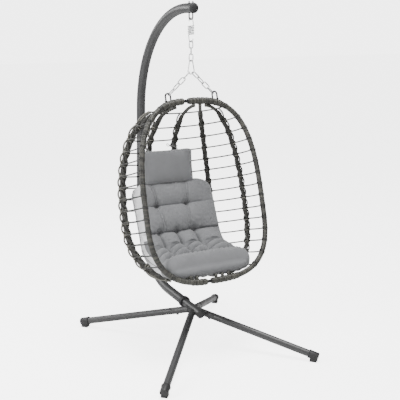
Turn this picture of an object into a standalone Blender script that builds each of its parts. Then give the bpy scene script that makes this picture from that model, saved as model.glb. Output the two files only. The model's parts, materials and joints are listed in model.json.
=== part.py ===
"""Hanging egg chair: a folding basket on a chain and spring, hung from a bent steel stand.

Run with: blender --background --python part.py
Metres, +Z up. The chair faces -Y. The origin is on the floor, under the middle of the base.
"""

from math import atan2, cos, hypot, pi, radians, sin

import bmesh
import bpy
from mathutils import Euler, Matrix, Vector

# Fits
GAP = 0.0004                # between pieces that touch
PIN_GAP = 0.0005            # round a pin in its hole
WIRE_GAP = 0.0009           # between two wires that hang in each other

# Stand: the base
LEG_TUBE = 0.040
LEG_REACH = 0.723           # hub axis to the middle of a foot
LEG_SPLAY = radians(39.7)   # from the fore-and-aft line
HUB_HEIGHT = 0.214
SLEEVE_LENGTH = 0.135       # hub axis to the end of a sleeve
SPIGOT_LENGTH = 0.050       # the leg's slim end inside its sleeve
SLEEVE_WALL = 0.0016
LEG_WALL = 0.0016
LEG_BOLT_AT = 0.108         # hub axis to the bolt
FOOT_CENTRE = 0.036         # the leg's axis above the floor at the foot
FOOT_CAP_WALL = 0.0026
FOOT_CAP_LENGTH = 0.056
FOOT_PAD_WIDTH = 0.036
FOOT_PAD_LENGTH = 0.040

# Stand: the pole
POLE_TUBE = 0.054
POLE_WALL = 0.002
STUB_TUBE = 0.0490
STUB_WALL = 0.0025
STUB_FRONT = -0.092         # the stub's front end, on the fore-and-aft line
STUB_IN_POLE = 0.060
POLE_START = 0.104          # where the pole's lower end stands on the stub
STUB_RISE = radians(4.0)
POLE_LOW_Y = 0.729          # the upright stretch, at the height of its lower bend
POLE_HIGH_Y = 0.670         # and at the height of the top bend
TOP_HEIGHT = 1.923          # the pole's axis at the hanging end
POLE_END_Y = -0.012
LOWER_BEND = 0.43
TOP_BEND = 0.626
POLE_JOINT = 1.140          # height where the upper pole enters the lower one
POLE_SPIGOT = 0.150
COLLAR_OUTER = 0.068
COLLAR_LENGTH = 0.026
COLLAR_LIP = 0.004
CAP_DOME = 0.006
CAP_PLUG = 0.014
BOLT = 0.008

# Hanger
HOOK_Y = 0.022              # everything hangs from this point of the pole
U_BOLT_WIRE = 0.008
U_BOLT_SPREAD = 0.022
U_BOLT_DROP = 0.060         # pole axis to the bottom of the U
NUT_ACROSS = 0.0145
NUT_HEIGHT = 0.0065
SPRING_WIRE = 0.005
SPRING_OUTER = 0.037
SPRING_TURNS = 5
SPRING_PITCH = 0.0096
HOOK_RADIUS = 0.0130
HOOK_HEIGHT = 0.040         # coil end to the middle of the hook's wire
HOOK_TURN = radians(-65)
CHAIN_WIRE = 0.0055
LINK_WIDTH = 0.0275
LINK_LENGTH = 0.0465
LINK_TWISTS = (0, 57, 132)
YOKE_LENGTH = 0.0815
YOKE_TOP_WIDTH = 0.0260
YOKE_FOOT_WIDTH = 0.0440
LINKS_PER_LEG = 4
YOKE_ABOVE_EYES = 0.1205    # middle of the yoke's rounded foot above the eyes' line
LEFT_TWISTS = (66, 140, 30, 90)
RIGHT_TWISTS = (116, 40, 150, 90)

# Basket, in its own frame: X to the right, Y to the back, Z up, on the eyes' line
BASKET_TILT = radians(15.8)
EYE_SPREAD = 0.292          # between the two hanging eyes
EYE_WIRE = 0.008
EYE_WIDTH = 0.038
EYE_HEIGHT = 0.047          # eye's top wire above the hoop's axis
HOOP_TUBE = 0.030
HOOP_HALF_WIDTH = 0.366
HOOP_HEIGHT = 0.998
HOOP_SHOULDER = 0.616       # top of the hoop down to its widest level
HOOP_POWER = 3.0
FOLD_X = -0.0415            # the fold's axis
HINGE_EYE = 0.022
HINGE_PLATE = 0.0055
HINGE_PIN = 0.008
HINGE_NECK = 0.013          # axis to the end of each hoop's tube
RIVET_HEAD = 0.014
RIVET_HEAD_HEIGHT = 0.003

# Ribs: plan angle from +X, reach from its own pivot, and the pivot's place on the hoop
RIBS = {
    "a": (127.5, 0.357, -0.150),
    "b": (95.1, 0.419, -0.112),
    "c": (86.6, 0.427, 0.005),
    "d": (62.5, 0.418, 0.045),
    "e": (36.0, 0.357, 0.083),
}
RIB_TUBE = 0.018
RIB_BRAID = 0.032           # over the braid's knots
RIB_WAIST = 0.025           # where a rung crosses
RIB_DROP = 0.026            # hoop's axis to the rib's end, top and bottom
RIB_POWER = 2.4
RIB_BOSS = 0.014
RIB_PIN = 0.008
PIN_DEPTH = 0.010

# Rungs
RUNG_CORD = 0.006
RUNG_COUNT = 15
FIRST_RUNG = 0.038          # below the hoop's axis at the top
RUNG_SPACING = 0.0648

# Cushions, in the basket's frame
CUSHION_X = -0.025
SEAT_FRONT = (0.035, -0.945)    # middle of the pad's thickness: how far back, how high
SEAT_REAR = (0.252, -0.850)
BACK_TOP = (0.325, -0.468)
SEAT_WIDTH = 0.520
BACK_WIDTH = 0.450
CUSHION_THICKNESS = 0.100
PILLOW_SIZE = (0.290, 0.075, 0.165)
PILLOW_CENTRE = (-0.075, 0.270, -0.358)
PILLOW_LEAN = radians(10)

ROUND = 12                  # sides of a large tube
SMALL = 8                   # sides of a chain wire
CORD_SIDES = 6


# Materials -------------------------------------------------------------------------------

def make_material(name, colour, roughness, metallic):
    material = bpy.data.materials.new(name)
    material.use_nodes = True
    shader = material.node_tree.nodes["Principled BSDF"]
    shader.inputs["Base Color"].default_value = (*colour, 1.0)
    shader.inputs["Roughness"].default_value = roughness
    shader.inputs["Metallic"].default_value = metallic
    return material


def powder_coat():
    return make_material("powder_coat", (0.075, 0.075, 0.077), 0.45, 0.0)


def black_plastic():
    return make_material("black_plastic", (0.028, 0.028, 0.030), 0.55, 0.0)


def zinc_steel():
    return make_material("zinc_steel", (0.62, 0.62, 0.62), 0.28, 1.0)


def black_steel():
    return make_material("black_steel", (0.035, 0.035, 0.037), 0.40, 0.0)


def rattan():
    return make_material("rattan", (0.080, 0.077, 0.068), 0.55, 0.0)


def rung_cord():
    return make_material("rung_cord", (0.100, 0.098, 0.090), 0.50, 0.0)


def cushion_fabric():
    return make_material("cushion_fabric", (0.30, 0.30, 0.31), 0.90, 0.0)


# Scene and helpers -----------------------------------------------------------------------

def clear_scene():
    for item in list(bpy.data.objects):
        bpy.data.objects.remove(item, do_unlink=True)
    for block in list(bpy.data.collections):
        bpy.data.collections.remove(block)


def new_collection(name):
    collection = bpy.data.collections.new(name)
    bpy.context.scene.collection.children.link(collection)
    return collection


def place(item, collection, parent=None, location=(0, 0, 0), rotation=(0, 0, 0)):
    collection.objects.link(item)
    item.location = location
    item.rotation_euler = rotation
    item.parent = parent or ROOT
    return item


def empty(name, location=(0, 0, 0), rotation=(0, 0, 0), parent=None):
    item = bpy.data.objects.new(name, None)
    item.empty_display_size = 0.05
    return place(item, PARTS, parent, location, rotation)


def smooth(mesh, angle=radians(40)):
    mesh.shade_smooth()
    mesh.set_sharp_from_angle(angle=angle)


def finish(item, material):
    item.data.materials.clear()
    item.data.materials.append(material)
    return item


def tube_curve(name, points, diameter, sides=SMALL, closed=False, radii=None, capped=True):
    """A wire or tube along a polyline; radii scale the diameter point by point."""
    curve = bpy.data.curves.new(name, "CURVE")
    curve.dimensions = "3D"
    curve.bevel_depth = diameter / 2
    curve.bevel_resolution = (sides - 4) // 2
    curve.use_fill_caps = capped and not closed
    line = curve.splines.new("POLY")
    line.points.add(len(points) - 1)
    for index, point in enumerate(points):
        line.points[index].co = (*point, 1.0)
        line.points[index].radius = radii[index] if radii else 1.0
    line.use_cyclic_u = closed
    return bpy.data.objects.new(name, curve)


def add_tube(name, points, diameter, material, parent=None, sides=SMALL, closed=False, radii=None):
    item = tube_curve(name, points, diameter, sides, closed, radii)
    place(item, PARTS, parent)
    return finish(item, material)


def curve_to_mesh(item):
    """Replace a curve object by the mesh it evaluates to, with its caps welded."""
    graph = bpy.context.evaluated_depsgraph_get()
    graph.update()
    mesh = bpy.data.meshes.new_from_object(item.evaluated_get(graph))
    shape = bmesh.new()
    shape.from_mesh(mesh)
    bmesh.ops.remove_doubles(shape, verts=shape.verts, dist=0.00001)
    shape.to_mesh(mesh)
    shape.free()
    name, parent, collection = item.name, item.parent, item.users_collection[0]
    location, rotation = item.location.copy(), item.rotation_euler.copy()
    bpy.data.objects.remove(item, do_unlink=True)
    return place(bpy.data.objects.new(name, mesh), collection, parent, location, rotation)


def hollow(item, wall):
    modifier = item.modifiers.new("wall", "SOLIDIFY")
    modifier.thickness = wall
    modifier.offset = -1
    modifier.use_even_offset = True
    return item


def boolean(item, other, operation):
    modifier = item.modifiers.new(operation.lower(), "BOOLEAN")
    modifier.operation = operation
    modifier.object = other
    modifier.solver = "EXACT"
    return item


def cutter(item):
    item.hide_render = True
    item.display_type = "WIRE"
    return item


def mesh_object(name, build):
    mesh = bpy.data.meshes.new(name)
    shape = bmesh.new()
    build(shape)
    bmesh.ops.recalc_face_normals(shape, faces=shape.faces)
    shape.to_mesh(mesh)
    shape.free()
    return bpy.data.objects.new(name, mesh)


def cylinder(name, radius, start, end, collection, parent=None, sides=12, radius_end=None):
    """A solid cylinder or cone between two points, with its object at the first one."""
    start, end = Vector(start), Vector(end)
    length = (end - start).length

    def build(shape):
        bmesh.ops.create_cone(shape, cap_ends=True, segments=sides, radius1=radius,
                              radius2=radius_end or radius, depth=length)
        bmesh.ops.translate(shape, vec=(0, 0, length / 2), verts=shape.verts)

    item = mesh_object(name, build)
    place(item, collection, parent, start)
    item.rotation_euler = (end - start).to_track_quat("Z", "X").to_euler()
    return item


def box(name, size, centre, collection, parent=None, rotation=(0, 0, 0)):
    def build(shape):
        bmesh.ops.create_cube(shape, size=1.0)
        bmesh.ops.scale(shape, vec=size, verts=shape.verts)

    return place(mesh_object(name, build), collection, parent, centre, rotation)


def turned(name, profile, collection, parent=None, sides=ROUND, closed=False):
    """Screw a profile of (radius, height) points, listed top to bottom on the outer side."""
    mesh = bpy.data.meshes.new(name)
    edges = [(index, index + 1) for index in range(len(profile) - 1)]
    if closed:
        edges.append((len(profile) - 1, 0))
    mesh.from_pydata([(radius, 0, height) for radius, height in profile], edges, [])
    item = bpy.data.objects.new(name, mesh)
    place(item, collection, parent)
    modifier = item.modifiers.new("turn", "SCREW")
    modifier.steps = sides
    modifier.render_steps = sides
    modifier.use_merge_vertices = True
    modifier.merge_threshold = 0.00001
    modifier.use_smooth_shade = True
    return item


def aim(item, point, direction, spin_axis="X"):
    """Put a turned item's foot at a point with its axis along a direction."""
    item.location = point
    item.rotation_euler = Vector(direction).to_track_quat("Z", spin_axis).to_euler()
    return item


def bent_line(corners, radii, step=0.08):
    """A line through corners, rounded at each inner corner by an arc of its radius."""
    corners = [Vector(corner) for corner in corners]
    points = [corners[0]]
    for before, corner, after, radius in zip(corners, corners[1:], corners[2:], radii):
        into, out = (before - corner).normalized(), (after - corner).normalized()
        half = into.angle(out) / 2
        centre = corner + (into + out).normalized() * (radius / sin(half))
        first = corner + into * (radius / (sin(half) / cos(half)))
        last = corner + out * (radius / (sin(half) / cos(half)))
        turn = (first - centre).angle(last - centre)
        axis = (first - centre).cross(last - centre).normalized()
        count = max(4, round(radius * turn / step))
        for index in range(count + 1):
            swing = Matrix.Rotation(turn * index / count, 3, axis)
            points.append(centre + swing @ (first - centre))
    points.append(corners[-1])
    return points


def cut_line(points, height, keep_above):
    """The part of a polyline above or below a height, ending exactly at that height."""
    kept = []
    for before, after in zip(points, points[1:]):
        inside = (before.z > height) == keep_above
        if inside:
            kept.append(before)
        if (before.z > height) != (after.z > height):
            share = (height - before.z) / (after.z - before.z)
            kept.append(before.lerp(after, share))
    if (points[-1].z > height) == keep_above:
        kept.append(points[-1])
    return kept


# Stand -----------------------------------------------------------------------------------

HUB = Vector((0, 0, HUB_HEIGHT))
STUB_AXIS = Vector((0, cos(STUB_RISE), sin(STUB_RISE)))


def stub_point(y):
    return HUB + STUB_AXIS * (y / STUB_AXIS.y)


def leg_direction(side, end):
    """Unit vector from the hub to a foot; side is -1 left, 1 right; end is -1 front, 1 rear."""
    foot = Vector((side * sin(LEG_SPLAY), end * cos(LEG_SPLAY), 0)) * LEG_REACH
    foot.z = FOOT_CENTRE - HUB_HEIGHT
    return foot.normalized()


CORNERS = {
    "front_left": (-1, -1),
    "front_right": (1, -1),
    "rear_left": (-1, 1),
    "rear_right": (1, 1),
}


def leg_length():
    return hypot(LEG_REACH, HUB_HEIGHT - FOOT_CENTRE)


def down_of(direction):
    """The direction square to a leg that points most nearly down."""
    down = Vector((0, 0, -1))
    return (down - direction * down.dot(direction)).normalized()


def bolt_hole(name, corner):
    direction = leg_direction(*corner)
    start = HUB + direction * LEG_BOLT_AT
    radius = BOLT / 2 + PIN_GAP
    return cutter(cylinder(name, radius, start, start + down_of(direction) * LEG_TUBE, CUTTERS))


def base_hub(material):
    """A stub with four sleeves: tubes joined, then bored through."""
    rear = stub_point(POLE_START + STUB_IN_POLE)
    hub = cylinder("base_hub", STUB_TUBE / 2, stub_point(STUB_FRONT), rear, PARTS, sides=ROUND)
    past = 0.01 * STUB_AXIS
    bores = [cylinder("stub_bore", STUB_TUBE / 2 - STUB_WALL, stub_point(STUB_FRONT) - past,
                      rear + past, CUTTERS, sides=ROUND)]
    for name, corner in CORNERS.items():
        direction = leg_direction(*corner)
        end = HUB + direction * SLEEVE_LENGTH
        sleeve = cylinder("sleeve_" + name, LEG_TUBE / 2, HUB, end, CUTTERS, sides=ROUND)
        boolean(hub, cutter(sleeve), "UNION")
        bores.append(cylinder("sleeve_bore_" + name, LEG_TUBE / 2 - SLEEVE_WALL,
                              HUB + direction * (SLEEVE_LENGTH - SPIGOT_LENGTH - 0.004),
                              end + direction * 0.01, CUTTERS, sides=ROUND))
    for bore in bores:
        boolean(hub, cutter(bore), "DIFFERENCE")
    for name, corner in CORNERS.items():
        boolean(hub, bolt_hole("hub_hole_" + name, corner), "DIFFERENCE")
    return finish(hub, material)


def leg(name, corner, material):
    """A tube whose slim end fits its sleeve, drilled for its bolt."""
    direction = leg_direction(*corner)
    slim = (LEG_TUBE / 2 - SLEEVE_WALL - GAP) / (LEG_TUBE / 2)
    stations = (
        (SLEEVE_LENGTH - SPIGOT_LENGTH, slim),
        (SLEEVE_LENGTH + GAP, slim),
        (SLEEVE_LENGTH + 0.003, 1.0),
        (leg_length() + FOOT_CAP_LENGTH / 2 - FOOT_CAP_WALL - GAP, 1.0),
    )
    points = [HUB + direction * along for along, _ in stations]
    tube = tube_curve("leg_" + name, points, LEG_TUBE, ROUND, radii=[r for _, r in stations],
                      capped=False)
    place(tube, PARTS)
    tube = hollow(curve_to_mesh(tube), LEG_WALL)
    boolean(tube, bolt_hole("leg_hole_" + name, corner), "DIFFERENCE")
    smooth(tube.data)
    return finish(tube, material)


def leg_bolt(name, corner, material):
    """A hexagon bolt, up through the sleeve into the leg's slim end."""
    direction = leg_direction(*corner)
    down = down_of(direction)
    under = HUB + direction * LEG_BOLT_AT + down * (LEG_TUBE / 2 + GAP)
    bolt = cylinder("leg_bolt_" + name, NUT_ACROSS / 2, under + down * 0.0055, under, PARTS, sides=6)
    shank = cylinder("leg_shank_" + name, BOLT / 2, under + down * 0.002, under - down * 0.012,
                     CUTTERS)
    return finish(boolean(bolt, cutter(shank), "UNION"), material)


def foot_cap(name, corner, material):
    """A closed sleeve over the leg's end, with a flat-bottomed pad under it."""
    direction = leg_direction(*corner)
    foot = HUB + direction * leg_length()
    outer = LEG_TUBE / 2 + GAP + FOOT_CAP_WALL
    inner = LEG_TUBE / 2 + GAP
    half = FOOT_CAP_LENGTH / 2
    profile = [
        (0, half), (outer - 0.003, half), (outer, half - 0.003), (outer + 0.0012, -half + 0.003),
        (outer, -half), (inner, -half), (inner, half - FOOT_CAP_WALL), (0, half - FOOT_CAP_WALL),
    ]
    cap = aim(turned("foot_cap_" + name, profile, PARTS), foot, direction)
    plan = atan2(direction.y, direction.x)
    pad = box("foot_pad_" + name, (FOOT_PAD_LENGTH, FOOT_PAD_WIDTH, FOOT_CENTRE),
              (foot.x, foot.y, FOOT_CENTRE / 2), CUTTERS, rotation=(0, 0, plan))
    boolean(cap, cutter(pad), "UNION")
    bore = cylinder("foot_bore_" + name, inner, foot - direction * 0.05,
                    foot + direction * (half - FOOT_CAP_WALL), CUTTERS, sides=ROUND)
    boolean(cap, cutter(bore), "DIFFERENCE")
    return finish(cap, material)


def end_cap(name, tube, wall, point, direction, material):
    """A domed plug that closes the open end of a tube."""
    radius = tube / 2
    plug = radius - wall - GAP
    profile = [
        (0, CAP_DOME + GAP), (radius * 0.72, CAP_DOME * 0.8 + GAP), (radius + 0.0008, 0.0015 + GAP),
        (radius + 0.0008, GAP), (plug, GAP), (plug, -CAP_PLUG), (0, -CAP_PLUG),
    ]
    return finish(aim(turned(name, profile, PARTS), point, direction), material)


def pole_line():
    """The pole's axis, from its end on the stub to its hanging end."""
    low = stub_point(POLE_LOW_Y)
    corners = [
        stub_point(POLE_START), low, Vector((0, POLE_HIGH_Y, TOP_HEIGHT)),
        Vector((0, POLE_END_Y, TOP_HEIGHT)),
    ]
    return bent_line(corners, (LOWER_BEND, TOP_BEND))


def upright_point(height):
    """A point of the pole's axis on its upright stretch."""
    points = pole_line()
    for before, after in zip(points, points[1:]):
        if before.z <= height < after.z:
            return before.lerp(after, (height - before.z) / (after.z - before.z))
    return points[-1]


def lower_pole(material):
    points = cut_line(pole_line(), POLE_JOINT, False)
    tube = place(tube_curve("lower_pole", points, POLE_TUBE, ROUND, capped=False), PARTS)
    tube = hollow(curve_to_mesh(tube), POLE_WALL)
    smooth(tube.data)
    return finish(tube, material)


def upper_pole(material):
    """The curved arm; its slim lower end stands in the lower pole."""
    slim = (POLE_TUBE / 2 - POLE_WALL - 2 * GAP) / (POLE_TUBE / 2)
    shoulder = POLE_JOINT + 0.004
    spigot = [upright_point(POLE_JOINT - POLE_SPIGOT), upright_point(POLE_JOINT - POLE_SPIGOT / 2),
              upright_point(POLE_JOINT + 2 * GAP)]
    points = spigot + cut_line(pole_line(), shoulder, True)
    radii = [slim] * len(spigot) + [1.0] * (len(points) - len(spigot))
    tube = tube_curve("upper_pole", points, POLE_TUBE, ROUND, radii=radii, capped=False)
    tube = hollow(curve_to_mesh(place(tube, PARTS)), POLE_WALL)
    for side in (-1, 1):
        x = side * U_BOLT_SPREAD / 2
        hole = cylinder("u_bolt_hole", U_BOLT_WIRE / 2 + PIN_GAP, (x, HOOK_Y, TOP_HEIGHT - POLE_TUBE),
                        (x, HOOK_Y, TOP_HEIGHT + POLE_TUBE), CUTTERS)
        boolean(tube, cutter(hole), "DIFFERENCE")
    smooth(tube.data)
    return finish(tube, material)


def pole_collar(material):
    """A ring that closes the step between the pole and the stub inside it."""
    outer, grip = COLLAR_OUTER / 2, POLE_TUBE / 2 + GAP
    lip = STUB_TUBE / 2 + GAP
    profile = [
        (grip, COLLAR_LENGTH - COLLAR_LIP), (outer - 0.002, COLLAR_LENGTH - COLLAR_LIP),
        (outer, COLLAR_LENGTH - COLLAR_LIP - 0.002), (outer, -COLLAR_LIP + 0.002),
        (outer - 0.002, -COLLAR_LIP), (lip, -COLLAR_LIP), (lip, -GAP), (grip, -GAP),
    ]
    collar = turned("pole_collar", profile, PARTS, closed=True)
    return finish(aim(collar, stub_point(POLE_START), STUB_AXIS), material)


def u_bolt(material):
    """A round-bottomed U through the pole, its threaded ends standing above it."""
    half = U_BOLT_SPREAD / 2
    bottom = TOP_HEIGHT - U_BOLT_DROP + half
    top = TOP_HEIGHT + POLE_TUBE / 2 + NUT_HEIGHT + 0.004
    points = [Vector((-half, HOOK_Y, top))]
    for index in range(9):
        angle = pi + pi * index / 8
        points.append(Vector((half * cos(angle), HOOK_Y, bottom + half * sin(angle))))
    points.append(Vector((half, HOOK_Y, top)))
    return add_tube("hanger_u_bolt", points, U_BOLT_WIRE, material)


def u_bolt_nut(name, side, material):
    seat = TOP_HEIGHT + POLE_TUBE / 2 + GAP
    foot = Vector((side * U_BOLT_SPREAD / 2, HOOK_Y, seat))
    nut = cylinder(name, NUT_ACROSS / 2, foot, foot + Vector((0, 0, NUT_HEIGHT)), PARTS, sides=6)
    hole = cylinder(name + "_hole", U_BOLT_WIRE / 2 + GAP, foot - Vector((0, 0, 0.01)),
                    foot + Vector((0, 0, 0.02)), CUTTERS)
    return finish(boolean(nut, cutter(hole), "DIFFERENCE"), material)


def stand(coat, plastic, steel):
    base_hub(coat)
    for name, corner in CORNERS.items():
        leg(name, corner, coat)
        leg_bolt(name, corner, steel)
        foot_cap(name, corner, plastic)
    lower_pole(coat)
    upper_pole(coat)
    pole_collar(plastic)
    end_cap("stub_cap", STUB_TUBE, STUB_WALL, stub_point(STUB_FRONT), -STUB_AXIS, plastic)
    end_cap("pole_cap", POLE_TUBE, POLE_WALL, (0, POLE_END_Y, TOP_HEIGHT), (0, -1, 0), plastic)
    u_bolt(steel)
    u_bolt_nut("u_bolt_nut_left", -1, steel)
    u_bolt_nut("u_bolt_nut_right", 1, steel)


# Hanger ----------------------------------------------------------------------------------

def seat_of(wire_a, wire_b):
    """Distance between the axes of two wires that hang in each other."""
    return (wire_a + wire_b) / 2 + WIRE_GAP


SWING_Z = TOP_HEIGHT - U_BOLT_DROP                                # the U's lowest axis point
HOOK_TOP = SWING_Z + seat_of(U_BOLT_WIRE, SPRING_WIRE)
COIL_TOP = HOOK_TOP - HOOK_HEIGHT
COIL_FOOT = COIL_TOP - SPRING_TURNS * SPRING_PITCH
HOOK_FOOT = COIL_FOOT - HOOK_HEIGHT
LINK_STEP = LINK_LENGTH - 2 * CHAIN_WIRE - WIRE_GAP                    # link centre to link centre
LINK_LINE = LINK_LENGTH - CHAIN_WIRE                              # length of a link's axis
FIRST_LINK_TOP = HOOK_FOOT + seat_of(SPRING_WIRE, CHAIN_WIRE)
CHAIN_FOOT = FIRST_LINK_TOP - LINK_LINE - 2 * LINK_STEP
YOKE_TOP = CHAIN_FOOT + seat_of(CHAIN_WIRE, CHAIN_WIRE)
YOKE_FOOT_RADIUS = (YOKE_FOOT_WIDTH - CHAIN_WIRE) / 2
YOKE_CENTRE_Z = YOKE_TOP - (YOKE_LENGTH - CHAIN_WIRE) + YOKE_FOOT_RADIUS


def spring(pivot, material):
    """An open coil with a hook at each end, turned about the vertical."""
    mean = (SPRING_OUTER - SPRING_WIRE) / 2
    rise = HOOK_HEIGHT - HOOK_RADIUS
    points = []
    for index in range(11):                                       # upper hook, tip first
        angle = radians(200) - radians(200) * index / 10
        points.append(Vector((HOOK_RADIUS * cos(angle), 0,
                              COIL_TOP + rise + HOOK_RADIUS * sin(angle))))
    points.append(Vector((mean * 0.95, 0, COIL_TOP + rise * 0.5)))
    steps = SPRING_TURNS * 12 + 6
    for index in range(steps + 1):                                # the coil ends half a turn on
        angle = 2 * pi * index / 12
        drop = COIL_TOP - (COIL_TOP - COIL_FOOT) * index / steps
        points.append(Vector((mean * cos(angle), mean * sin(angle), drop)))
    points.append(Vector((-mean * 0.95, 0, COIL_FOOT - rise * 0.5)))
    for index in range(11):
        angle = pi + radians(200) * index / 10
        points.append(Vector((HOOK_RADIUS * cos(angle), 0,
                              COIL_FOOT - rise + HOOK_RADIUS * sin(angle))))
    turn = Matrix.Rotation(HOOK_TURN, 3, "Z")
    local = Vector((0, 0, SWING_Z))
    points = [turn @ point - local for point in points]
    return add_tube("spring", points, SPRING_WIRE, material, pivot, CORD_SIDES)


def oval(length, top_width, foot_width, count=6):
    """The axis of a closed link in its XZ plane, from a top at height 0."""
    top, foot = top_width / 2, foot_width / 2
    points = []
    for index in range(count + 1):
        angle = pi * index / count
        points.append(Vector((top * cos(angle), 0, -top + top * sin(angle))))
    for index in range(count + 1):
        angle = pi + pi * index / count
        points.append(Vector((foot * cos(angle), 0, -length + foot + foot * sin(angle))))
    return points


def add_link(name, parent, top, direction, twist, length, material):
    """A chain link whose top wire's axis is at a point, hanging along a direction."""
    width = LINK_WIDTH - CHAIN_WIRE
    item = tube_curve(name, oval(length, width, width), CHAIN_WIRE, SMALL, closed=True)
    place(item, PARTS, parent, top)
    lean = Vector((0, 0, -1)).rotation_difference(direction)
    item.rotation_mode = "QUATERNION"
    item.rotation_quaternion = lean @ Euler((0, 0, radians(twist))).to_quaternion()
    return finish(item, material)


# Basket ----------------------------------------------------------------------------------

HOOP_TOP = -EYE_HEIGHT
WIDEST = HOOP_TOP - HOOP_SHOULDER
HOOP_FOOT = HOOP_TOP - HOOP_HEIGHT


def egg_radius(angle, half_width, top, foot, power):
    """Distance from the widest level's middle to the outline; angle 0 is straight up."""
    height = top - WIDEST if cos(angle) > 0 else WIDEST - foot
    across = (abs(sin(angle)) / half_width) ** power
    along = (abs(cos(angle)) / height) ** power
    return (across + along) ** (-1 / power)


def egg_width(level, half_width, top, foot, power):
    """Half an outline's width at a level; nothing above its top or below its foot."""
    height = top - WIDEST if level > WIDEST else WIDEST - foot
    share = min(1.0, abs(level - WIDEST) / height)
    return half_width * (1 - share ** power) ** (1 / power)


def hoop_outline(side, count):
    """Points of one half of the hoop, from its top neck round to its foot neck."""
    first = atan2(abs(FOLD_X + side * HINGE_NECK), HOOP_TOP - WIDEST)
    last = pi - atan2(abs(FOLD_X + side * HINGE_NECK), WIDEST - HOOP_FOOT)
    start_sign = 1 if FOLD_X + side * HINGE_NECK > 0 else -1
    if start_sign != side:                                        # the half that crosses the middle
        first, last = -first, 2 * pi - last
        if last > pi:
            last = 2 * pi - (pi - atan2(abs(FOLD_X + side * HINGE_NECK), WIDEST - HOOP_FOOT))
    points = []
    for index in range(count + 1):
        angle = first + (last - first) * index / count
        radius = egg_radius(angle, HOOP_HALF_WIDTH, HOOP_TOP, HOOP_FOOT, HOOP_POWER)
        points.append(Vector((side * radius * sin(angle), 0, WIDEST + radius * cos(angle))))
    return points


def resample(points, step):
    """Points at even spacing along a polyline, with its ends kept."""
    lengths = [0.0]
    for before, after in zip(points, points[1:]):
        lengths.append(lengths[-1] + (after - before).length)
    count = max(2, round(lengths[-1] / step))
    result = []
    index = 0
    for number in range(count + 1):
        target = lengths[-1] * number / count
        while index < len(points) - 2 and lengths[index + 1] < target:
            index += 1
        share = (target - lengths[index]) / (lengths[index + 1] - lengths[index])
        result.append(points[index].lerp(points[index + 1], share))
    return result


def hoop(side, label, pivot, offset, material):
    """Half of the front hoop, with its hanging eye and its two hinge plates."""
    outline = resample(hoop_outline(side, 120), 0.045)
    item = tube_curve(f"hoop_{label}", [point - offset for point in outline], HOOP_TUBE, 10)
    item = curve_to_mesh(place(item, PARTS, pivot))
    for joined in hoop_fittings(side, label, pivot, offset):
        boolean(item, joined, "UNION")
    for hole in hoop_holes(side, label, pivot, offset):
        boolean(item, hole, "DIFFERENCE")
    return finish(item, material)


def hoop_fittings(side, label, pivot, offset):
    """The eye's bent wire, and a plate at each end that carries the hinge pin."""
    half = (EYE_WIDTH - EYE_WIRE) / 2
    x = side * EYE_SPREAD / 2
    level = egg_level(x)
    points = [Vector((x - half, 0, level - 0.004)) - offset]
    for index in range(9):
        angle = pi - pi * index / 8
        points.append(Vector((x + half * cos(angle), 0, -half + half * sin(angle))) - offset)
    points.append(Vector((x + half, 0, level - 0.004)) - offset)
    eye = place(tube_curve(f"eye_{label}", points, EYE_WIRE), CUTTERS, pivot)
    fittings = [cutter(curve_to_mesh(eye))]
    lift = side * -1 * (HINGE_PLATE / 2 + GAP / 2)                # left plate above, right below
    for place_name, level in (("top", HOOP_TOP), ("foot", HOOP_FOOT)):
        centre = Vector((FOLD_X, 0, level + lift)) - offset
        half_plate = Vector((0, 0, HINGE_PLATE / 2))
        disc = cylinder(f"plate_{label}_{place_name}", HINGE_EYE / 2, centre - half_plate,
                        centre + half_plate, CUTTERS, pivot, sides=ROUND)
        neck = box(f"neck_{label}_{place_name}", (HINGE_NECK + 0.010, HINGE_EYE * 0.8, HINGE_PLATE),
                   centre + Vector((side * (HINGE_NECK + 0.010) / 2, 0, 0)), CUTTERS, pivot)
        fittings += [cutter(disc), cutter(neck)]
    return fittings


def egg_level(x):
    """Height of the hoop's axis at a place across its top."""
    share = abs(x) / HOOP_HALF_WIDTH
    return WIDEST + HOOP_SHOULDER * (1 - share ** HOOP_POWER) ** (1 / HOOP_POWER)


def egg_slope(x):
    """Slope of the hoop's top at a place across it; the foot is never steeper."""
    return (egg_level(abs(x) - 0.001) - egg_level(abs(x) + 0.001)) / 0.002


def foot_level(x):
    """Height of the hoop's axis at a place across its foot."""
    share = abs(x) / HOOP_HALF_WIDTH
    return WIDEST - (WIDEST - HOOP_FOOT) * (1 - share ** HOOP_POWER) ** (1 / HOOP_POWER)


def hoop_holes(side, label, pivot, offset):
    """Holes for the hinge pins and for the ribs' pins."""
    holes = []
    for place_name, level in (("top", HOOP_TOP), ("foot", HOOP_FOOT)):
        centre = Vector((FOLD_X, 0, level)) - offset
        reach = Vector((0, 0, HINGE_PLATE * 2))
        holes.append(cutter(cylinder(f"hinge_hole_{label}_{place_name}", HINGE_PIN / 2 + PIN_GAP,
                                     centre - reach, centre + reach, CUTTERS, pivot)))
    for rib, (_, _, x) in RIBS.items():
        if (x > FOLD_X) != (side > 0):
            continue
        for place_name, level, up in (("top", egg_level(x), 1), ("foot", foot_level(x), -1)):
            mouth = Vector((x, 0, level - up * (HOOP_TUBE / 2 + 0.01))) - offset
            end = Vector((x, 0, level - up * (HOOP_TUBE / 2 - PIN_DEPTH - 0.001))) - offset
            holes.append(cutter(cylinder(f"rib_hole_{rib}_{place_name}", RIB_PIN / 2 + PIN_GAP,
                                         mouth, end, CUTTERS, pivot)))
    return holes


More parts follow.
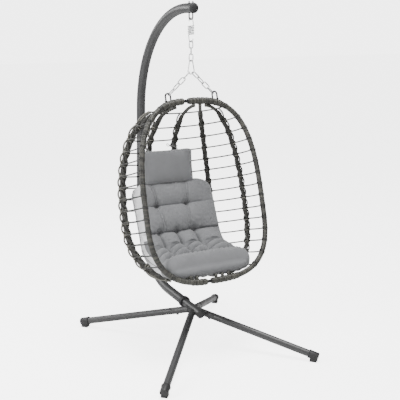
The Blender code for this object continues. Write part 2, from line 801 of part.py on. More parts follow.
def hinge_pin(name, level, pivot, material):
    """A rivet through both plates, headed at each end."""
    grip = HINGE_PLATE + GAP * 1.5
    head, pin = RIVET_HEAD / 2, HINGE_PIN / 2
    top = grip + RIVET_HEAD_HEIGHT
    profile = [
        (0, top), (head * 0.7, top), (head, grip + 0.001), (head, grip), (pin, grip),
        (pin, -grip), (head, -grip), (head, -grip - 0.001), (head * 0.7, -top), (0, -top),
    ]
    item = turned(name, profile, PARTS, pivot, sides=12)
    item.location = (0, 0, level)
    return finish(item, material)


def rung_levels():
    return [HOOP_TOP - FIRST_RUNG - index * RUNG_SPACING for index in range(RUNG_COUNT)]


def rib_ends(x):
    """Top and foot of the rib that pivots at a place across the hoop."""
    drop = RIB_DROP * hypot(1, egg_slope(x))
    return egg_level(x) - drop, foot_level(x) + drop


def rib_path(label):
    """A rib's axis as (distance from its pivot, level, thickness), top to foot."""
    _, reach, x = RIBS[label]
    top, foot = rib_ends(x)

    def at_share(share, end):
        return share * reach, WIDEST + (end - WIDEST) * (1 - share ** RIB_POWER) ** (1 / RIB_POWER)

    levels = [level for level in rung_levels() if foot + 0.012 < level < top - 0.006]
    path = [(*at_share(share, top), RIB_TUBE) for share in (0, 0.08, 0.16)]
    path += [(egg_width(level, reach, top, foot, RIB_POWER), level, RIB_WAIST) for level in levels]
    path += [(egg_width(level, reach, top, foot, RIB_POWER), level, RIB_BRAID)
             for level in [(a + b) / 2 for a, b in zip(levels, levels[1:])]]
    path += [(*at_share(share, foot), RIB_TUBE) for share in (0.16, 0.08, 0)]
    path.sort(key=lambda station: -station[1])
    return path


def rib_out(label):
    angle = radians(RIBS[label][0])
    return Vector((cos(angle), sin(angle), 0))


def rib(label, pivot, offset, material):
    """A bent tube under its braid, with a headed pin at each end."""
    x = RIBS[label][2]
    path = rib_path(label)
    points = [Vector((x, 0, level)) + rib_out(label) * width - offset for width, level, _ in path]
    radii = [thickness / RIB_BRAID for _, _, thickness in path]
    item = curve_to_mesh(place(tube_curve(f"rib_{label}", points, RIB_BRAID, SMALL, radii=radii),
                               PARTS, pivot))
    slope = egg_slope(x)
    for place_name, end, level, up in (("top", path[0][1], egg_level(x), 1),
                                       ("foot", path[-1][1], foot_level(x), -1)):
        clear = HOOP_TUBE / 2 * hypot(1, slope) + slope * RIB_BOSS / 2 + 3 * GAP
        seat = Vector((x, 0, level - up * clear)) - offset
        back = Vector((x, 0, end - up * 0.004)) - offset
        tip = Vector((x, 0, level - up * (HOOP_TUBE / 2 - PIN_DEPTH))) - offset
        boss = cylinder(f"boss_{label}_{place_name}", RIB_BOSS / 2, back, seat, CUTTERS, pivot,
                        sides=SMALL)
        pin = cylinder(f"pin_{label}_{place_name}", RIB_PIN / 2, back, tip, CUTTERS, pivot,
                       sides=SMALL)
        boolean(item, cutter(boss), "UNION")
        boolean(item, cutter(pin), "UNION")
    return finish(item, material)


def distance_to_line(point, line, radii=None):
    """Shortest distance from a point to a polyline, less its own radius where it has one."""
    nearest = []
    for index, (before, after) in enumerate(zip(line, line[1:])):
        along = after - before
        share = max(0.0, min(1.0, (point - before).dot(along) / along.length_squared))
        own = radii[index] * (1 - share) + radii[index + 1] * share if radii else 0.0
        nearest.append((point - before - along * share).length - own)
    return min(nearest)


def clear_width(path, start, level):
    """How far out from its pivot a level cord passes outside a rib."""
    line = [Vector((width, height)) for width, height, _ in path]
    radii = [thickness / 2 for _, _, thickness in path]
    near, far = start, start + 0.2
    for _ in range(24):
        middle = (near + far) / 2
        if distance_to_line(Vector((middle, level)), line, radii) < RUNG_CORD / 2 * 1.3 + GAP:
            near = middle
        else:
            far = middle
    return far


def round_rib(label, level):
    """Points round the outside of a rib at a level, where a cord can lie."""
    x = RIBS[label][2]
    path = rib_path(label)
    top, foot = rib_ends(x)
    start = egg_width(level, RIBS[label][1], top, foot, RIB_POWER)
    out_reach = (clear_width(path, start, level) - start) * 1.03
    clearance = RIB_BRAID / 2 + RUNG_CORD / 2 + GAP
    out = rib_out(label)
    across = Vector((-out.y, out.x, 0))
    centre = Vector((x, 0, level)) + out * start
    turns = [radians(step * 30) for step in range(-3, 4)]
    return [centre + out * out_reach * cos(turn) + across * clearance * sin(turn) for turn in turns]


def taut_path(points):
    """The convex outline of level points, from the rearmost side's right end to its left end."""
    def turn(a, b, c):
        return (b.x - a.x) * (c.y - a.y) - (b.y - a.y) * (c.x - a.x)

    def chain(ordered):
        kept = []
        for point in ordered:
            while len(kept) > 1 and turn(kept[-2], kept[-1], point) <= 1e-9:
                kept.pop()
            kept.append(point)
        return kept[:-1]

    ordered = sorted(points, key=lambda point: (point.x, point.y))
    hull = chain(ordered) + chain(ordered[::-1])
    start = hull.index(points[0])
    hull = hull[start:] + hull[:start]
    return hull[:hull.index(points[-1]) + 1]


def stop_at_hoop(before, end, outline):
    """The last point from one end of a segment that is clear of the hoop's tube."""
    clearance = HOOP_TUBE / 2 + RUNG_CORD / 2
    near, far = 0.0, 1.0
    for _ in range(24):
        middle = (near + far) / 2
        if distance_to_line(before.lerp(end, middle), outline) > clearance:
            near = middle
        else:
            far = middle
    return before.lerp(end, near)


def rung(number, level, pivot, material):
    """A taut cord from one side of the hoop to the other, outside every rib."""
    half = egg_width(level, HOOP_HALF_WIDTH, HOOP_TOP, HOOP_FOOT, HOOP_POWER)
    points = [Vector((half, 0, level))]
    for label in RIBS:
        points += round_rib(label, level)
    points.append(Vector((-half, 0, level)))
    path = taut_path(points)
    path[0] = stop_at_hoop(path[1], path[0], hoop_outline(1, 60))
    path[-1] = stop_at_hoop(path[-2], path[-1], hoop_outline(-1, 60))
    return add_tube(f"rung_{number:02d}", path, RUNG_CORD, material, pivot, CORD_SIDES)


# Cushions --------------------------------------------------------------------------------

def seat_cushion(pivot, material):
    """One pad bent into a seat and a back: its side outline given a width, then rounded."""
    line = [Vector((CUSHION_X, *point)) for point in (SEAT_FRONT, SEAT_REAR, BACK_TOP)]
    widths = [SEAT_WIDTH, SEAT_WIDTH * 0.88, BACK_WIDTH]
    seat, back = (line[1] - line[0]).normalized(), (line[2] - line[1]).normalized()
    normals = [Vector((0, -seat.z, seat.y)), None, Vector((0, -back.z, back.y))]
    normals[1] = (normals[0] + normals[2]).normalized()
    normals[1] /= normals[1].dot(normals[0])

    def build(shape):
        rows = [[[shape.verts.new(centre + Vector((x, 0, 0)) + normal * CUSHION_THICKNESS / 2 * face)
                  for face in (-1, 1)] for x in (-width / 2, width / 2)]
                for centre, normal, width in zip(line, normals, widths)]
        for (left, right), (next_left, next_right) in zip(rows, rows[1:]):
            shape.faces.new((left[0], next_left[0], next_left[1], left[1]))
            shape.faces.new((right[0], next_right[0], next_right[1], right[1]))
            for face in (0, 1):
                shape.faces.new((left[face], right[face], next_right[face], next_left[face]))
        for left, right in (rows[0], rows[-1]):
            shape.faces.new((left[0], right[0], right[1], left[1]))

    item = place(mesh_object("seat_cushion", build), PARTS, pivot)
    round_edges(item, 0.034, 3)
    smooth(item.data)
    return finish(item, material)


def round_edges(item, width, segments):
    modifier = item.modifiers.new("round", "BEVEL")
    modifier.width = width
    modifier.segments = segments
    modifier.limit_method = "ANGLE"
    modifier.angle_limit = radians(60)


def pillow(pivot, material):
    item = box("head_pillow", PILLOW_SIZE, PILLOW_CENTRE, PARTS, pivot, (PILLOW_LEAN, 0, 0))
    round_edges(item, 0.030, 3)
    smooth(item.data)
    return finish(item, material)


# Assembly --------------------------------------------------------------------------------

def hanger_and_basket(steel, wire, weave, cord, fabric):
    """Everything that hangs, on a chain of empties that stand at the joints."""
    hook = Vector((0, HOOK_Y, SWING_Z))
    first = Vector((0, HOOK_Y, FIRST_LINK_TOP))
    second = first - Vector((0, 0, LINK_STEP))
    third = second - Vector((0, 0, LINK_STEP))
    yoke_top = Vector((0, HOOK_Y, YOKE_TOP))
    places = [("swing_pivot", hook), ("bounce_slide", first), ("side_swing_pivot", second),
              ("swivel_pivot", third), ("yoke_pivot", yoke_top)]
    pivots, parent, parent_point = [], None, Vector()
    for name, point in places:
        pivot = JointFrame(name, point, parent, parent_point)
        pivots.append(pivot)
        parent, parent_point = pivot.empty, point
    spring(pivots[0].empty, steel)
    tip_z = YOKE_CENTRE_Z - YOKE_ABOVE_EYES
    links(pivots, tip_z, steel)
    basket = empty("basket_frame", Vector((0, HOOK_Y, tip_z)) - yoke_top, (-BASKET_TILT, 0, 0),
                   pivots[4].empty)
    fold = Vector((FOLD_X, 0, 0))
    left = empty("fold_pivot", fold, parent=basket)
    hoop(1, "right", basket, Vector(), weave)
    hoop(-1, "left", left, fold, weave)
    hinge_pin("hinge_pin_top", HOOP_TOP, empty("top_hinge_axis", fold, parent=basket), wire)
    hinge_pin("hinge_pin_foot", HOOP_FOOT, empty("foot_hinge_axis", fold, parent=basket), wire)
    for label, (_, _, x) in RIBS.items():
        axis = Vector((x, 0, 0))
        if x < FOLD_X:
            rib(label, empty(f"rib_{label}_pivot", axis - fold, parent=left), axis, weave)
        else:
            rib(label, empty(f"rib_{label}_pivot", axis, parent=basket), axis, weave)
    for number, level in enumerate(rung_levels()):
        rung(number + 1, level, basket, cord)
    seat_cushion(basket, fabric)
    pillow(basket, fabric)


class JointFrame:
    """An empty at a joint, with its world position kept beside it."""

    def __init__(self, name, point, parent, parent_point):
        self.point = Vector(point)
        self.empty = empty(name, self.point - parent_point, parent=parent)


def links(pivots, tip_z, steel):
    for index, twist in enumerate(LINK_TWISTS):
        add_link(f"chain_link_{index + 1}", pivots[index + 1].empty, Vector(),
                 Vector((0, 0, -1)), twist, LINK_LINE, steel)
    yoke_pivot = pivots[4]
    points = oval(YOKE_LENGTH - CHAIN_WIRE, YOKE_TOP_WIDTH - CHAIN_WIRE,
                  YOKE_FOOT_WIDTH - CHAIN_WIRE)
    add_tube("yoke_link", points, CHAIN_WIRE, steel, yoke_pivot.empty, closed=True)
    for side, label, twists in ((-1, "left", LEFT_TWISTS), (1, "right", RIGHT_TWISTS)):
        leg_links(side, label, twists, yoke_pivot, tip_z, steel)


def leg_links(side, label, twists, pivot, tip_z, material):
    """Links from the yoke's rounded foot to one eye of the basket."""
    yoke_centre = Vector((0, HOOK_Y, YOKE_CENTRE_Z))
    eye_radius = (EYE_WIDTH - EYE_WIRE) / 2
    eye = Vector((side * EYE_SPREAD / 2, HOOK_Y, tip_z - eye_radius))
    direction = (eye - yoke_centre).normalized()
    start = YOKE_FOOT_RADIUS - seat_of(CHAIN_WIRE, CHAIN_WIRE)
    end = (eye - yoke_centre).length - eye_radius + seat_of(CHAIN_WIRE, EYE_WIRE)
    overlap = seat_of(CHAIN_WIRE, CHAIN_WIRE)
    length = (end - start + (LINKS_PER_LEG - 1) * overlap) / LINKS_PER_LEG
    for index in range(LINKS_PER_LEG):
        top = yoke_centre + direction * (start + index * (length - overlap))
        add_link(f"{label}_chain_link_{index + 1}", pivot.empty, top - pivot.point,
                 direction, twists[index], length, material)


def centre_on_base(root):
    """Move the whole chair so that the origin is under the middle of the stand's outline."""
    graph = bpy.context.evaluated_depsgraph_get()
    graph.update()
    depths = []
    for item in PARTS.objects:
        if item.type != "EMPTY" and item.parent == root:
            solid = item.evaluated_get(graph)
            mesh = solid.to_mesh()
            depths += [(solid.matrix_world @ vertex.co).y for vertex in mesh.vertices]
            solid.to_mesh_clear()
    root.location.y = -(min(depths) + max(depths)) / 2


clear_scene()
PARTS = new_collection("hanging_egg_chair")
CUTTERS = new_collection("cutters")
ROOT = None
ROOT = empty("stand_origin")
stand(powder_coat(), black_plastic(), black_steel())
hanger_and_basket(zinc_steel(), black_steel(), rattan(), rung_cord(), cushion_fabric())
centre_on_base(ROOT)
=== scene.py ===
"""Looks for the hanging egg chair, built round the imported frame."""

import json
from math import atan2, cos, hypot, pi, radians, sin

import bmesh
import bpy
import numpy as np
from mathutils import Matrix, Vector, noise


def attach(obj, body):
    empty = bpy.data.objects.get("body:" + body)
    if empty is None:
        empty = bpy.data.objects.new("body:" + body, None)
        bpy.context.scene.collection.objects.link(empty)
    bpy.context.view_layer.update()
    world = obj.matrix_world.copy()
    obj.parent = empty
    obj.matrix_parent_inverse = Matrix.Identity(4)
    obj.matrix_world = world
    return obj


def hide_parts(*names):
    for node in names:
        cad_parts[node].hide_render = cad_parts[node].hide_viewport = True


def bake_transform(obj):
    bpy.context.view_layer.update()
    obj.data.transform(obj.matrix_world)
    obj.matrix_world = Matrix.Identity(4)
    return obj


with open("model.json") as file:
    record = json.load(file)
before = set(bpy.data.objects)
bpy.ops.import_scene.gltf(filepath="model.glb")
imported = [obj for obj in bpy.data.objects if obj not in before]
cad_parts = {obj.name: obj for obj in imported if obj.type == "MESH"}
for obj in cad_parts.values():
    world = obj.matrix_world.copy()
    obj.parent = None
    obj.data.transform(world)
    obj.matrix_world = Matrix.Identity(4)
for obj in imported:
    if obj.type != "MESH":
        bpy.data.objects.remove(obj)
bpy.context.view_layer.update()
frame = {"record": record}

# ---------------------------------------------------------------- places, from the record

JOINTS = {joint["name"]: joint for joint in frame["record"]["behaviour"]["joints"]}
BODY_OF = {node: body for body, nodes in frame["record"]["behaviour"]["bodies"].items()
           for node in nodes}
BASKET = BODY_OF["hoop_right"]

HOOK_Y = JOINTS["swing_fore_aft"]["pos_m"][1]
SHIFT = HOOK_Y - 0.022                  # the hub's axis, front to back
TILT = radians(15.8)                    # how far back the basket hangs
EYES_Z = 1.4675                         # the tops of the hoop's hanging eyes
BASKET_FRAME = Matrix.Translation((0, HOOK_Y, EYES_Z)) @ Matrix.Rotation(-TILT, 4, "X")


def basket(x, y, z):
    """A place in the basket's own frame, in the world."""
    return BASKET_FRAME @ Vector((x, y, z))


def basket_path(points):
    return [basket(*point) for point in points]


def basket_way(x, y, z):
    """A direction in the basket's own frame, in the world."""
    return basket(x, y, z) - basket(0, 0, 0)


# ---------------------------------------------------------------- making pieces

def linked(name, data):
    """A new object in the scene."""
    item = bpy.data.objects.new(name, data)
    bpy.context.scene.collection.objects.link(item)
    return item


def activate(*items):
    """Select these pieces and nothing else, the first of them active."""
    bpy.ops.object.select_all(action="DESELECT")
    for item in items:
        item.select_set(True)
    bpy.context.view_layer.objects.active = items[0]
    return items[0]


def smooth_by(angle):
    """Smooth the selected piece, but not over edges sharper than an angle in degrees."""
    bpy.ops.object.shade_smooth_by_angle(angle=radians(angle))


def bevel_edges(offset, segments):
    """Round every edge of the active piece."""
    bpy.ops.object.mode_set(mode="EDIT")
    bpy.ops.mesh.select_all(action="SELECT")
    bpy.ops.mesh.bevel(offset=offset, segments=segments, affect="EDGES")
    bpy.ops.object.mode_set(mode="OBJECT")


def adopt(name, mesh, material, smooth=40):
    """Link a finished mesh as a piece."""
    item = activate(linked(name, mesh))
    mesh.materials.clear()
    mesh.materials.append(material)
    smooth_by(smooth)
    return item


def settle(item):
    """Apply an object's place, turn and size to its mesh."""
    activate(item)
    bpy.ops.object.transform_apply(location=True, rotation=True, scale=True)
    return item


def stand_at(item, place, direction):
    """Turn a piece's own Z to a direction, at a place."""
    item.matrix_world = Matrix.Translation(Vector(place)) @ (
        Vector(direction).to_track_quat("Z", "X").to_matrix().to_4x4())
    return settle(item)


def join(name, items):
    item = activate(*items)
    if len(items) > 1:
        bpy.ops.object.join()
    item.name = name
    return item


def set_on(item, body, slot, *replaced):
    """Give a piece its body, and hide the nodes that it stands in for; the slot argument is not
    used.
    """
    if body:
        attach(item, body)
    if replaced:
        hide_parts(*replaced)
    return item


def arc_lengths(points):
    """Running length along a polyline, from 0 at its start."""
    steps = np.linalg.norm(np.diff(points, axis=0), axis=1)
    return np.concatenate([[0.0], np.cumsum(steps)])


def resample(points, step, closed=False):
    """Even points along a polyline, smoothed through its corners by a Catmull-Rom curve."""
    points = np.array([tuple(point) for point in points], float)
    if closed:
        padded = np.vstack([points[-1], points, points[0], points[1]])
    else:
        padded = np.vstack([2 * points[0] - points[1], points, 2 * points[-1] - points[-2]])
    fine = []
    for a, b, c, d in zip(padded, padded[1:], padded[2:], padded[3:]):
        for t in np.linspace(0, 1, 9)[:-1]:
            fine.append(0.5 * (2 * b + (c - a) * t + (2 * a - 5 * b + 4 * c - d) * t * t
                               + (3 * b - a - 3 * c + d) * t ** 3))
    if not closed:
        fine.append(points[-1])
    fine = np.array(fine)
    if closed:
        fine = np.vstack([fine, fine[0]])
    length = arc_lengths(fine)
    count = max(3, int(round(length[-1] / step)))
    wanted = np.linspace(0, length[-1], count + 1)
    even = np.stack([np.interp(wanted, length, fine[:, axis]) for axis in range(3)], axis=1)
    return even[:-1] if closed else even


def frames_along(points, closed=False):
    """Two directions square to the path at each point, without twist."""
    points = np.asarray(points, float)
    if closed:
        tangents = np.roll(points, -1, 0) - np.roll(points, 1, 0)
    else:
        tangents = np.gradient(points, axis=0)
    tangents /= np.linalg.norm(tangents, axis=1)[:, None]
    start = np.array([0.0, 0.0, 1.0])
    if abs(tangents[0] @ start) > 0.9:
        start = np.array([1.0, 0.0, 0.0])
    side = start - tangents[0] * (start @ tangents[0])
    sides = []
    for tangent in tangents:
        side = side - tangent * (side @ tangent)
        side = side / np.linalg.norm(side)
        sides.append(side)
    sides = np.array(sides)
    ups = np.cross(tangents, sides)
    if closed:
        last = sides[-1] - tangents[0] * (sides[-1] @ tangents[0])
        error = atan2(last @ ups[0], last @ sides[0])
        turn = -error * np.arange(len(points)) / len(points)
        sides, ups = (sides * np.cos(turn)[:, None] + ups * np.sin(turn)[:, None],
                      ups * np.cos(turn)[:, None] - sides * np.sin(turn)[:, None])
    return sides, ups


def flip_if_inside_out(mesh):
    shape = bmesh.new()
    shape.from_mesh(mesh)
    if shape.calc_volume(signed=True) < 0:
        bmesh.ops.reverse_faces(shape, faces=shape.faces)
    shape.to_mesh(mesh)
    shape.free()


def sweep(name, points, radius, material, sides=16, closed=False, ripple=None, smooth=60):
    """A round bar along a path, with a UV map: across is metres along, up is round."""
    points = np.asarray([tuple(point) for point in points], float)
    across, ups = frames_along(points, closed)
    length = arc_lengths(points)
    angles = np.linspace(0, 2 * pi, sides, endpoint=False)
    radius = np.broadcast_to(np.asarray(radius, float), (len(points),))
    reach = np.repeat(radius[:, None], sides, 1)
    if ripple is not None:
        reach = reach + ripple(length[:, None], angles[None, :])
    rings = (points[:, None, :] + reach[:, :, None] * (
        across[:, None, :] * np.cos(angles)[None, :, None]
        + ups[:, None, :] * np.sin(angles)[None, :, None]))
    count = len(points)
    faces, uvs = [], []
    for i in range(count if closed else count - 1):
        j = (i + 1) % count
        near, far = length[i], length[j]
        if j == 0:
            far = length[-1] + np.linalg.norm(points[0] - points[-1])
        for k in range(sides):
            m = (k + 1) % sides
            faces.append((i * sides + k, i * sides + m, j * sides + m, j * sides + k))
            low, high = k / sides, (k + 1) / sides
            uvs += [(near, low), (near, high), (far, high), (far, low)]
    if not closed:
        start = (count - 1) * sides
        faces += [tuple(range(sides))[::-1], tuple(start + k for k in range(sides))]
        uvs += [(place, k / sides) for place in (0.0, length[-1]) for k in range(sides)]
    mesh = bpy.data.meshes.new(name)
    mesh.from_pydata(rings.reshape(-1, 3).tolist(), [], faces)
    layer = mesh.uv_layers.new(name="UVMap")
    layer.data.foreach_set("uv", np.array(uvs, float).ravel())
    flip_if_inside_out(mesh)
    return adopt(name, mesh, material, smooth)


def arc(centre, radius, start, end, count):
    """Points round part of an upright circle that faces forward."""
    return [Vector(centre) + Vector((radius * cos(a), 0, radius * sin(a)))
            for a in np.linspace(start, end, count)]


def turned(name, profile, place, direction, material, sides=48, smooth=35):
    """Spin a profile of (radius, height) about an axis that stands at a place."""
    mesh = bpy.data.meshes.new(name)
    mesh.from_pydata([(radius, 0, height) for radius, height in profile],
                     [(k, k + 1) for k in range(len(profile) - 1)], [])
    item = activate(linked(name, mesh))
    bpy.ops.object.mode_set(mode="EDIT")
    bpy.ops.mesh.select_all(action="SELECT")
    bpy.ops.mesh.spin(steps=sides, angle=2 * pi, center=(0, 0, 0), axis=(0, 0, 1))
    bpy.ops.mesh.select_all(action="SELECT")
    bpy.ops.mesh.remove_doubles(threshold=0.00002)
    bpy.ops.mesh.normals_make_consistent(inside=False)
    bpy.ops.object.mode_set(mode="OBJECT")
    stand_at(item, place, direction)
    mesh.materials.append(material)
    smooth_by(smooth)
    return item


def hexagon(name, place, direction, across, height, material):
    """A hexagon head with chamfered corners, standing on a washer."""
    washer = 0.0012
    bpy.ops.mesh.primitive_cylinder_add(vertices=6, radius=across / 2, depth=height,
                                        location=(0, 0, washer + height / 2))
    head = bpy.context.active_object
    bevel_edges(0.0008, 2)
    bpy.ops.mesh.primitive_cylinder_add(vertices=32, radius=across * 0.66, depth=washer,
                                        location=(0, 0, washer / 2))
    item = join(name, [head, bpy.context.active_object])
    item.data.materials.clear()
    item.data.materials.append(material)
    stand_at(settle(item), place, direction)
    smooth_by(30)
    return item


# ---------------------------------------------------------------- finishes

def node_group(name, inputs, outputs):
    """An empty node group with its sockets."""
    group = bpy.data.node_groups.new(name, "ShaderNodeTree")
    for label, default in inputs:
        socket = group.interface.new_socket(label, in_out="INPUT", socket_type="NodeSocketFloat")
        socket.default_value = default
    for label, kind in outputs:
        group.interface.new_socket(label, in_out="OUTPUT", socket_type=kind)
    return group, group.nodes.new("NodeGroupInput"), group.nodes.new("NodeGroupOutput")


def math_node(tree, operation, a, b=None):
    node = tree.nodes.new("ShaderNodeMath")
    node.operation = operation
    for socket, value in zip(node.inputs, (a, b)):
        if hasattr(value, "is_output"):
            tree.links.new(value, socket)
        elif value is not None:
            socket.default_value = value
    return node.outputs[0]


def add(tree, a, b):
    return math_node(tree, "ADD", a, b)


def times(tree, a, b):
    return math_node(tree, "MULTIPLY", a, b)


def wave(tree, value, rate):
    return math_node(tree, "SINE", times(tree, value, rate))


def coordinates(tree, kind, output):
    """The three parts of a piece's own coordinates."""
    place = tree.nodes.new(kind)
    split = tree.nodes.new("ShaderNodeSeparateXYZ")
    tree.links.new(place.outputs[output], split.inputs[0])
    return split.outputs


def blotches_group():
    """Soft uneven patches, and fine grain, both between 0 and 1."""
    group, ins, outs = node_group("uneven_tone", [("Patch Scale", 6.0), ("Grain Scale", 300.0)],
                                  [("Patches", "NodeSocketFloat"), ("Grain", "NodeSocketFloat")])
    place = group.nodes.new("ShaderNodeTexCoord")
    for label, detail in (("Patch", 4.0), ("Grain", 2.0)):
        field = group.nodes.new("ShaderNodeTexNoise")
        field.inputs["Detail"].default_value = detail
        group.links.new(place.outputs["Object"], field.inputs["Vector"])
        group.links.new(ins.outputs[f"{label} Scale"], field.inputs["Scale"])
        group.links.new(field.outputs["Fac"],
                        outs.inputs["Patches" if label == "Patch" else "Grain"])
    return group


UNEVEN = blotches_group()


def base_material(name, roughness, metallic=0.0):
    material = bpy.data.materials.new(name)
    material.use_nodes = True
    tree = material.node_tree
    shader = tree.nodes["Principled BSDF"]
    shader.inputs["Roughness"].default_value = roughness
    shader.inputs["Metallic"].default_value = metallic
    return material, tree, shader


def uneven(tree, patch, grain):
    """Patches and grain at their own scales, for one finish."""
    node = tree.nodes.new("ShaderNodeGroup")
    node.node_tree = UNEVEN
    node.inputs["Patch Scale"].default_value = patch
    node.inputs["Grain Scale"].default_value = grain
    return node.outputs["Patches"], node.outputs["Grain"]


def tint(tree, shader, value, *stops):
    """Colour a finish by a value, through a ramp of (place, colour) stops."""
    node = tree.nodes.new("ShaderNodeValToRGB")
    elements = node.color_ramp.elements
    while len(elements) < len(stops):
        elements.new(0.5)
    for element, (place, colour) in zip(elements, stops):
        element.position = place
        element.color = (*colour, 1.0)
    tree.links.new(value, node.inputs[0])
    tree.links.new(node.outputs[0], shader.inputs["Base Color"])


def bump(tree, shader, height, distance, strength):
    """Raise a finish by a height field, over a distance in metres."""
    node = tree.nodes.new("ShaderNodeBump")
    node.inputs["Distance"].default_value = distance
    node.inputs["Strength"].default_value = strength
    tree.links.new(height, node.inputs["Height"])
    tree.links.new(node.outputs["Normal"], shader.inputs["Normal"])


def vary_roughness(tree, shader, value, low, high):
    node = tree.nodes.new("ShaderNodeMapRange")
    node.inputs["To Min"].default_value = low
    node.inputs["To Max"].default_value = high
    tree.links.new(value, node.inputs["Value"])
    tree.links.new(node.outputs[0], shader.inputs["Roughness"])


def coated_steel(name, dark, light, roughness):
    """Powder coat: a faint orange peel over an even colour."""
    material, tree, shader = base_material(name, roughness)
    patches, grain = uneven(tree, 9.0, 900.0)
    tint(tree, shader, patches, (0.3, dark), (0.7, light))
    vary_roughness(tree, shader, grain, roughness - 0.06, roughness + 0.06)
    bump(tree, shader, grain, 0.00012, 0.5)
    return material


def plated_steel():
    """Bright zinc, a little cloudy."""
    material, tree, shader = base_material("bright_zinc", 0.3, 1.0)
    patches, grain = uneven(tree, 60.0, 1200.0)
    tint(tree, shader, patches, (0.3, (0.42, 0.43, 0.44)), (0.7, (0.70, 0.70, 0.70)))
    vary_roughness(tree, shader, patches, 0.20, 0.42)
    bump(tree, shader, grain, 0.00006, 0.4)
    return material


def moulded_plastic():
    material, tree, shader = base_material("moulded_plastic", 0.55)
    patches, grain = uneven(tree, 25.0, 1500.0)
    tint(tree, shader, patches, (0.3, (0.009, 0.009, 0.010)), (0.7, (0.016, 0.016, 0.017)))
    bump(tree, shader, grain, 0.00015, 0.6)
    return material


def wound_strand(name, pitch, dark, middle, light):
    """Resin strand wound round a tube: each turn has its own tone, with fine lines along it."""
    material, tree, shader = base_material(name, 0.5)
    along, round_it, _ = coordinates(tree, "ShaderNodeUVMap", "UV")
    turns = add(tree, math_node(tree, "DIVIDE", along, pitch), round_it)
    tone = tree.nodes.new("ShaderNodeTexWhiteNoise")
    tone.noise_dimensions = "1D"
    tree.links.new(math_node(tree, "FLOOR", turns), tone.inputs["W"])
    patches, grain = uneven(tree, 30.0, 700.0)
    mixed = add(tree, times(tree, tone.outputs["Value"], 0.55), times(tree, patches, 0.55))
    tint(tree, shader, mixed, (0.2, dark), (0.5, middle), (0.85, light))
    fraction = math_node(tree, "FRACT", turns)
    height = add(tree, wave(tree, fraction, pi), times(tree, wave(tree, fraction, 8 * pi), 0.12))
    bump(tree, shader, add(tree, height, times(tree, grain, 0.3)), 0.0006, 0.7)
    return material


def twisted_strand(name, dark, light):
    """A round resin cord with slanting fibre lines."""
    material, tree, shader = base_material(name, 0.5)
    along, round_it, _ = coordinates(tree, "ShaderNodeUVMap", "UV")
    slant = add(tree, times(tree, along, 900.0), times(tree, round_it, 6 * pi))
    patches, grain = uneven(tree, 40.0, 900.0)
    tint(tree, shader, patches, (0.35, dark), (0.68, light))
    lines = add(tree, math_node(tree, "SINE", slant), times(tree, grain, 0.5))
    bump(tree, shader, lines, 0.0002, 0.6)
    return material


def cloth(name, dark, light, sheen):
    """Plain weave: threads over and under, slight slubs, and a soft sheen."""
    material, tree, shader = base_material(name, 0.86)
    x, y, z = coordinates(tree, "ShaderNodeTexCoord", "Object")
    rate = 2 * pi / 0.0011
    rise = add(tree, times(tree, z, 0.85), times(tree, y, -0.55))
    threads = times(tree, wave(tree, x, rate), wave(tree, rise, rate))
    patches, grain = uneven(tree, 14.0, 420.0)
    tone = add(tree, times(tree, patches, 0.6),
               add(tree, times(tree, grain, 0.3), times(tree, threads, 0.05)))
    tint(tree, shader, tone, (0.25, dark), (0.75, light))
    shader.inputs["Sheen Weight"].default_value = sheen
    shader.inputs["Sheen Roughness"].default_value = 0.5
    shader.inputs["Specular IOR Level"].default_value = 0.25
    bump(tree, shader, add(tree, threads, times(tree, grain, 0.8)), 0.00025, 0.5)
    return material


COAT = coated_steel("powder_coat_grey", (0.034, 0.034, 0.035), (0.043, 0.043, 0.044), 0.42)
BLACK_STEEL = coated_steel("black_coated_steel", (0.010, 0.010, 0.010), (0.016, 0.016, 0.017),
                           0.36)
ZINC = plated_steel()
PLASTIC = moulded_plastic()
WRAP = wound_strand("wound_wicker", 0.0052, (0.010, 0.0097, 0.0078), (0.026, 0.0252, 0.0208),
                    (0.062, 0.060, 0.050))
BRAID = twisted_strand("braided_wicker", (0.010, 0.0097, 0.0083), (0.032, 0.031, 0.0265))
# A lighter copy of the braided wicker: painted highlight for the lit outer ribs a and b, and for
# one tie of each pair on every rib.
BRAID_PAINTED_HIGHLIGHT = twisted_strand("braided_wicker_painted_highlight", (0.070, 0.068, 0.058), (0.190, 0.184, 0.158))
CORD = twisted_strand("rung_wicker", (0.008, 0.008, 0.0075), (0.022, 0.0216, 0.020))
CORD_PALE = twisted_strand("tie_cord", (0.10, 0.10, 0.098), (0.20, 0.20, 0.195))
FABRIC = cloth("cushion_cloth", (0.140, 0.142, 0.147), (0.178, 0.181, 0.187), 0.22)
LINING = cloth("lining_cloth", (0.72, 0.72, 0.73), (0.82, 0.82, 0.83), 0.1)


# ---------------------------------------------------------------- stand

HUB_HEIGHT = 0.214
FOOT_CENTRE = 0.036
LEG_REACH = 0.723
LEG_SPLAY = radians(39.7)
LEG_TUBE = 0.040
POLE_TUBE = 0.054
STUB_TUBE = 0.049
STUB_FRONT, STUB_REAR, STUB_SPIGOT = -0.092, 0.104, 0.060
SLEEVE_START, SLEEVE_END = 0.02, 0.135  # along each leg, from the hub's middle
STUB_RISE = radians(4.0)
POLE_TOP = 1.923
POLE_JOINT = 1.140                     # height of the seam between the poles
POLE_BOLTS = (1.036, 1.100)            # heights of the bolts through them
BOLT_ACROSS = 0.0140
POLE_END = -0.012                      # front of the arm, from the hub's axis
HUB = Vector((0, SHIFT, HUB_HEIGHT))
STUB_AXIS = Vector((0, cos(STUB_RISE), sin(STUB_RISE)))
CORNERS = {"front_left": (-1, -1), "front_right": (1, -1), "rear_left": (-1, 1),
           "rear_right": (1, 1)}


def stub_point(y):
    """A point on the stub's axis, at a distance behind the hub."""
    return HUB + STUB_AXIS * (y / STUB_AXIS.y)


def leg_direction(side, end):
    foot = Vector((side * sin(LEG_SPLAY), end * cos(LEG_SPLAY), 0)) * LEG_REACH
    foot.z = FOOT_CENTRE - HUB_HEIGHT
    return foot.normalized()


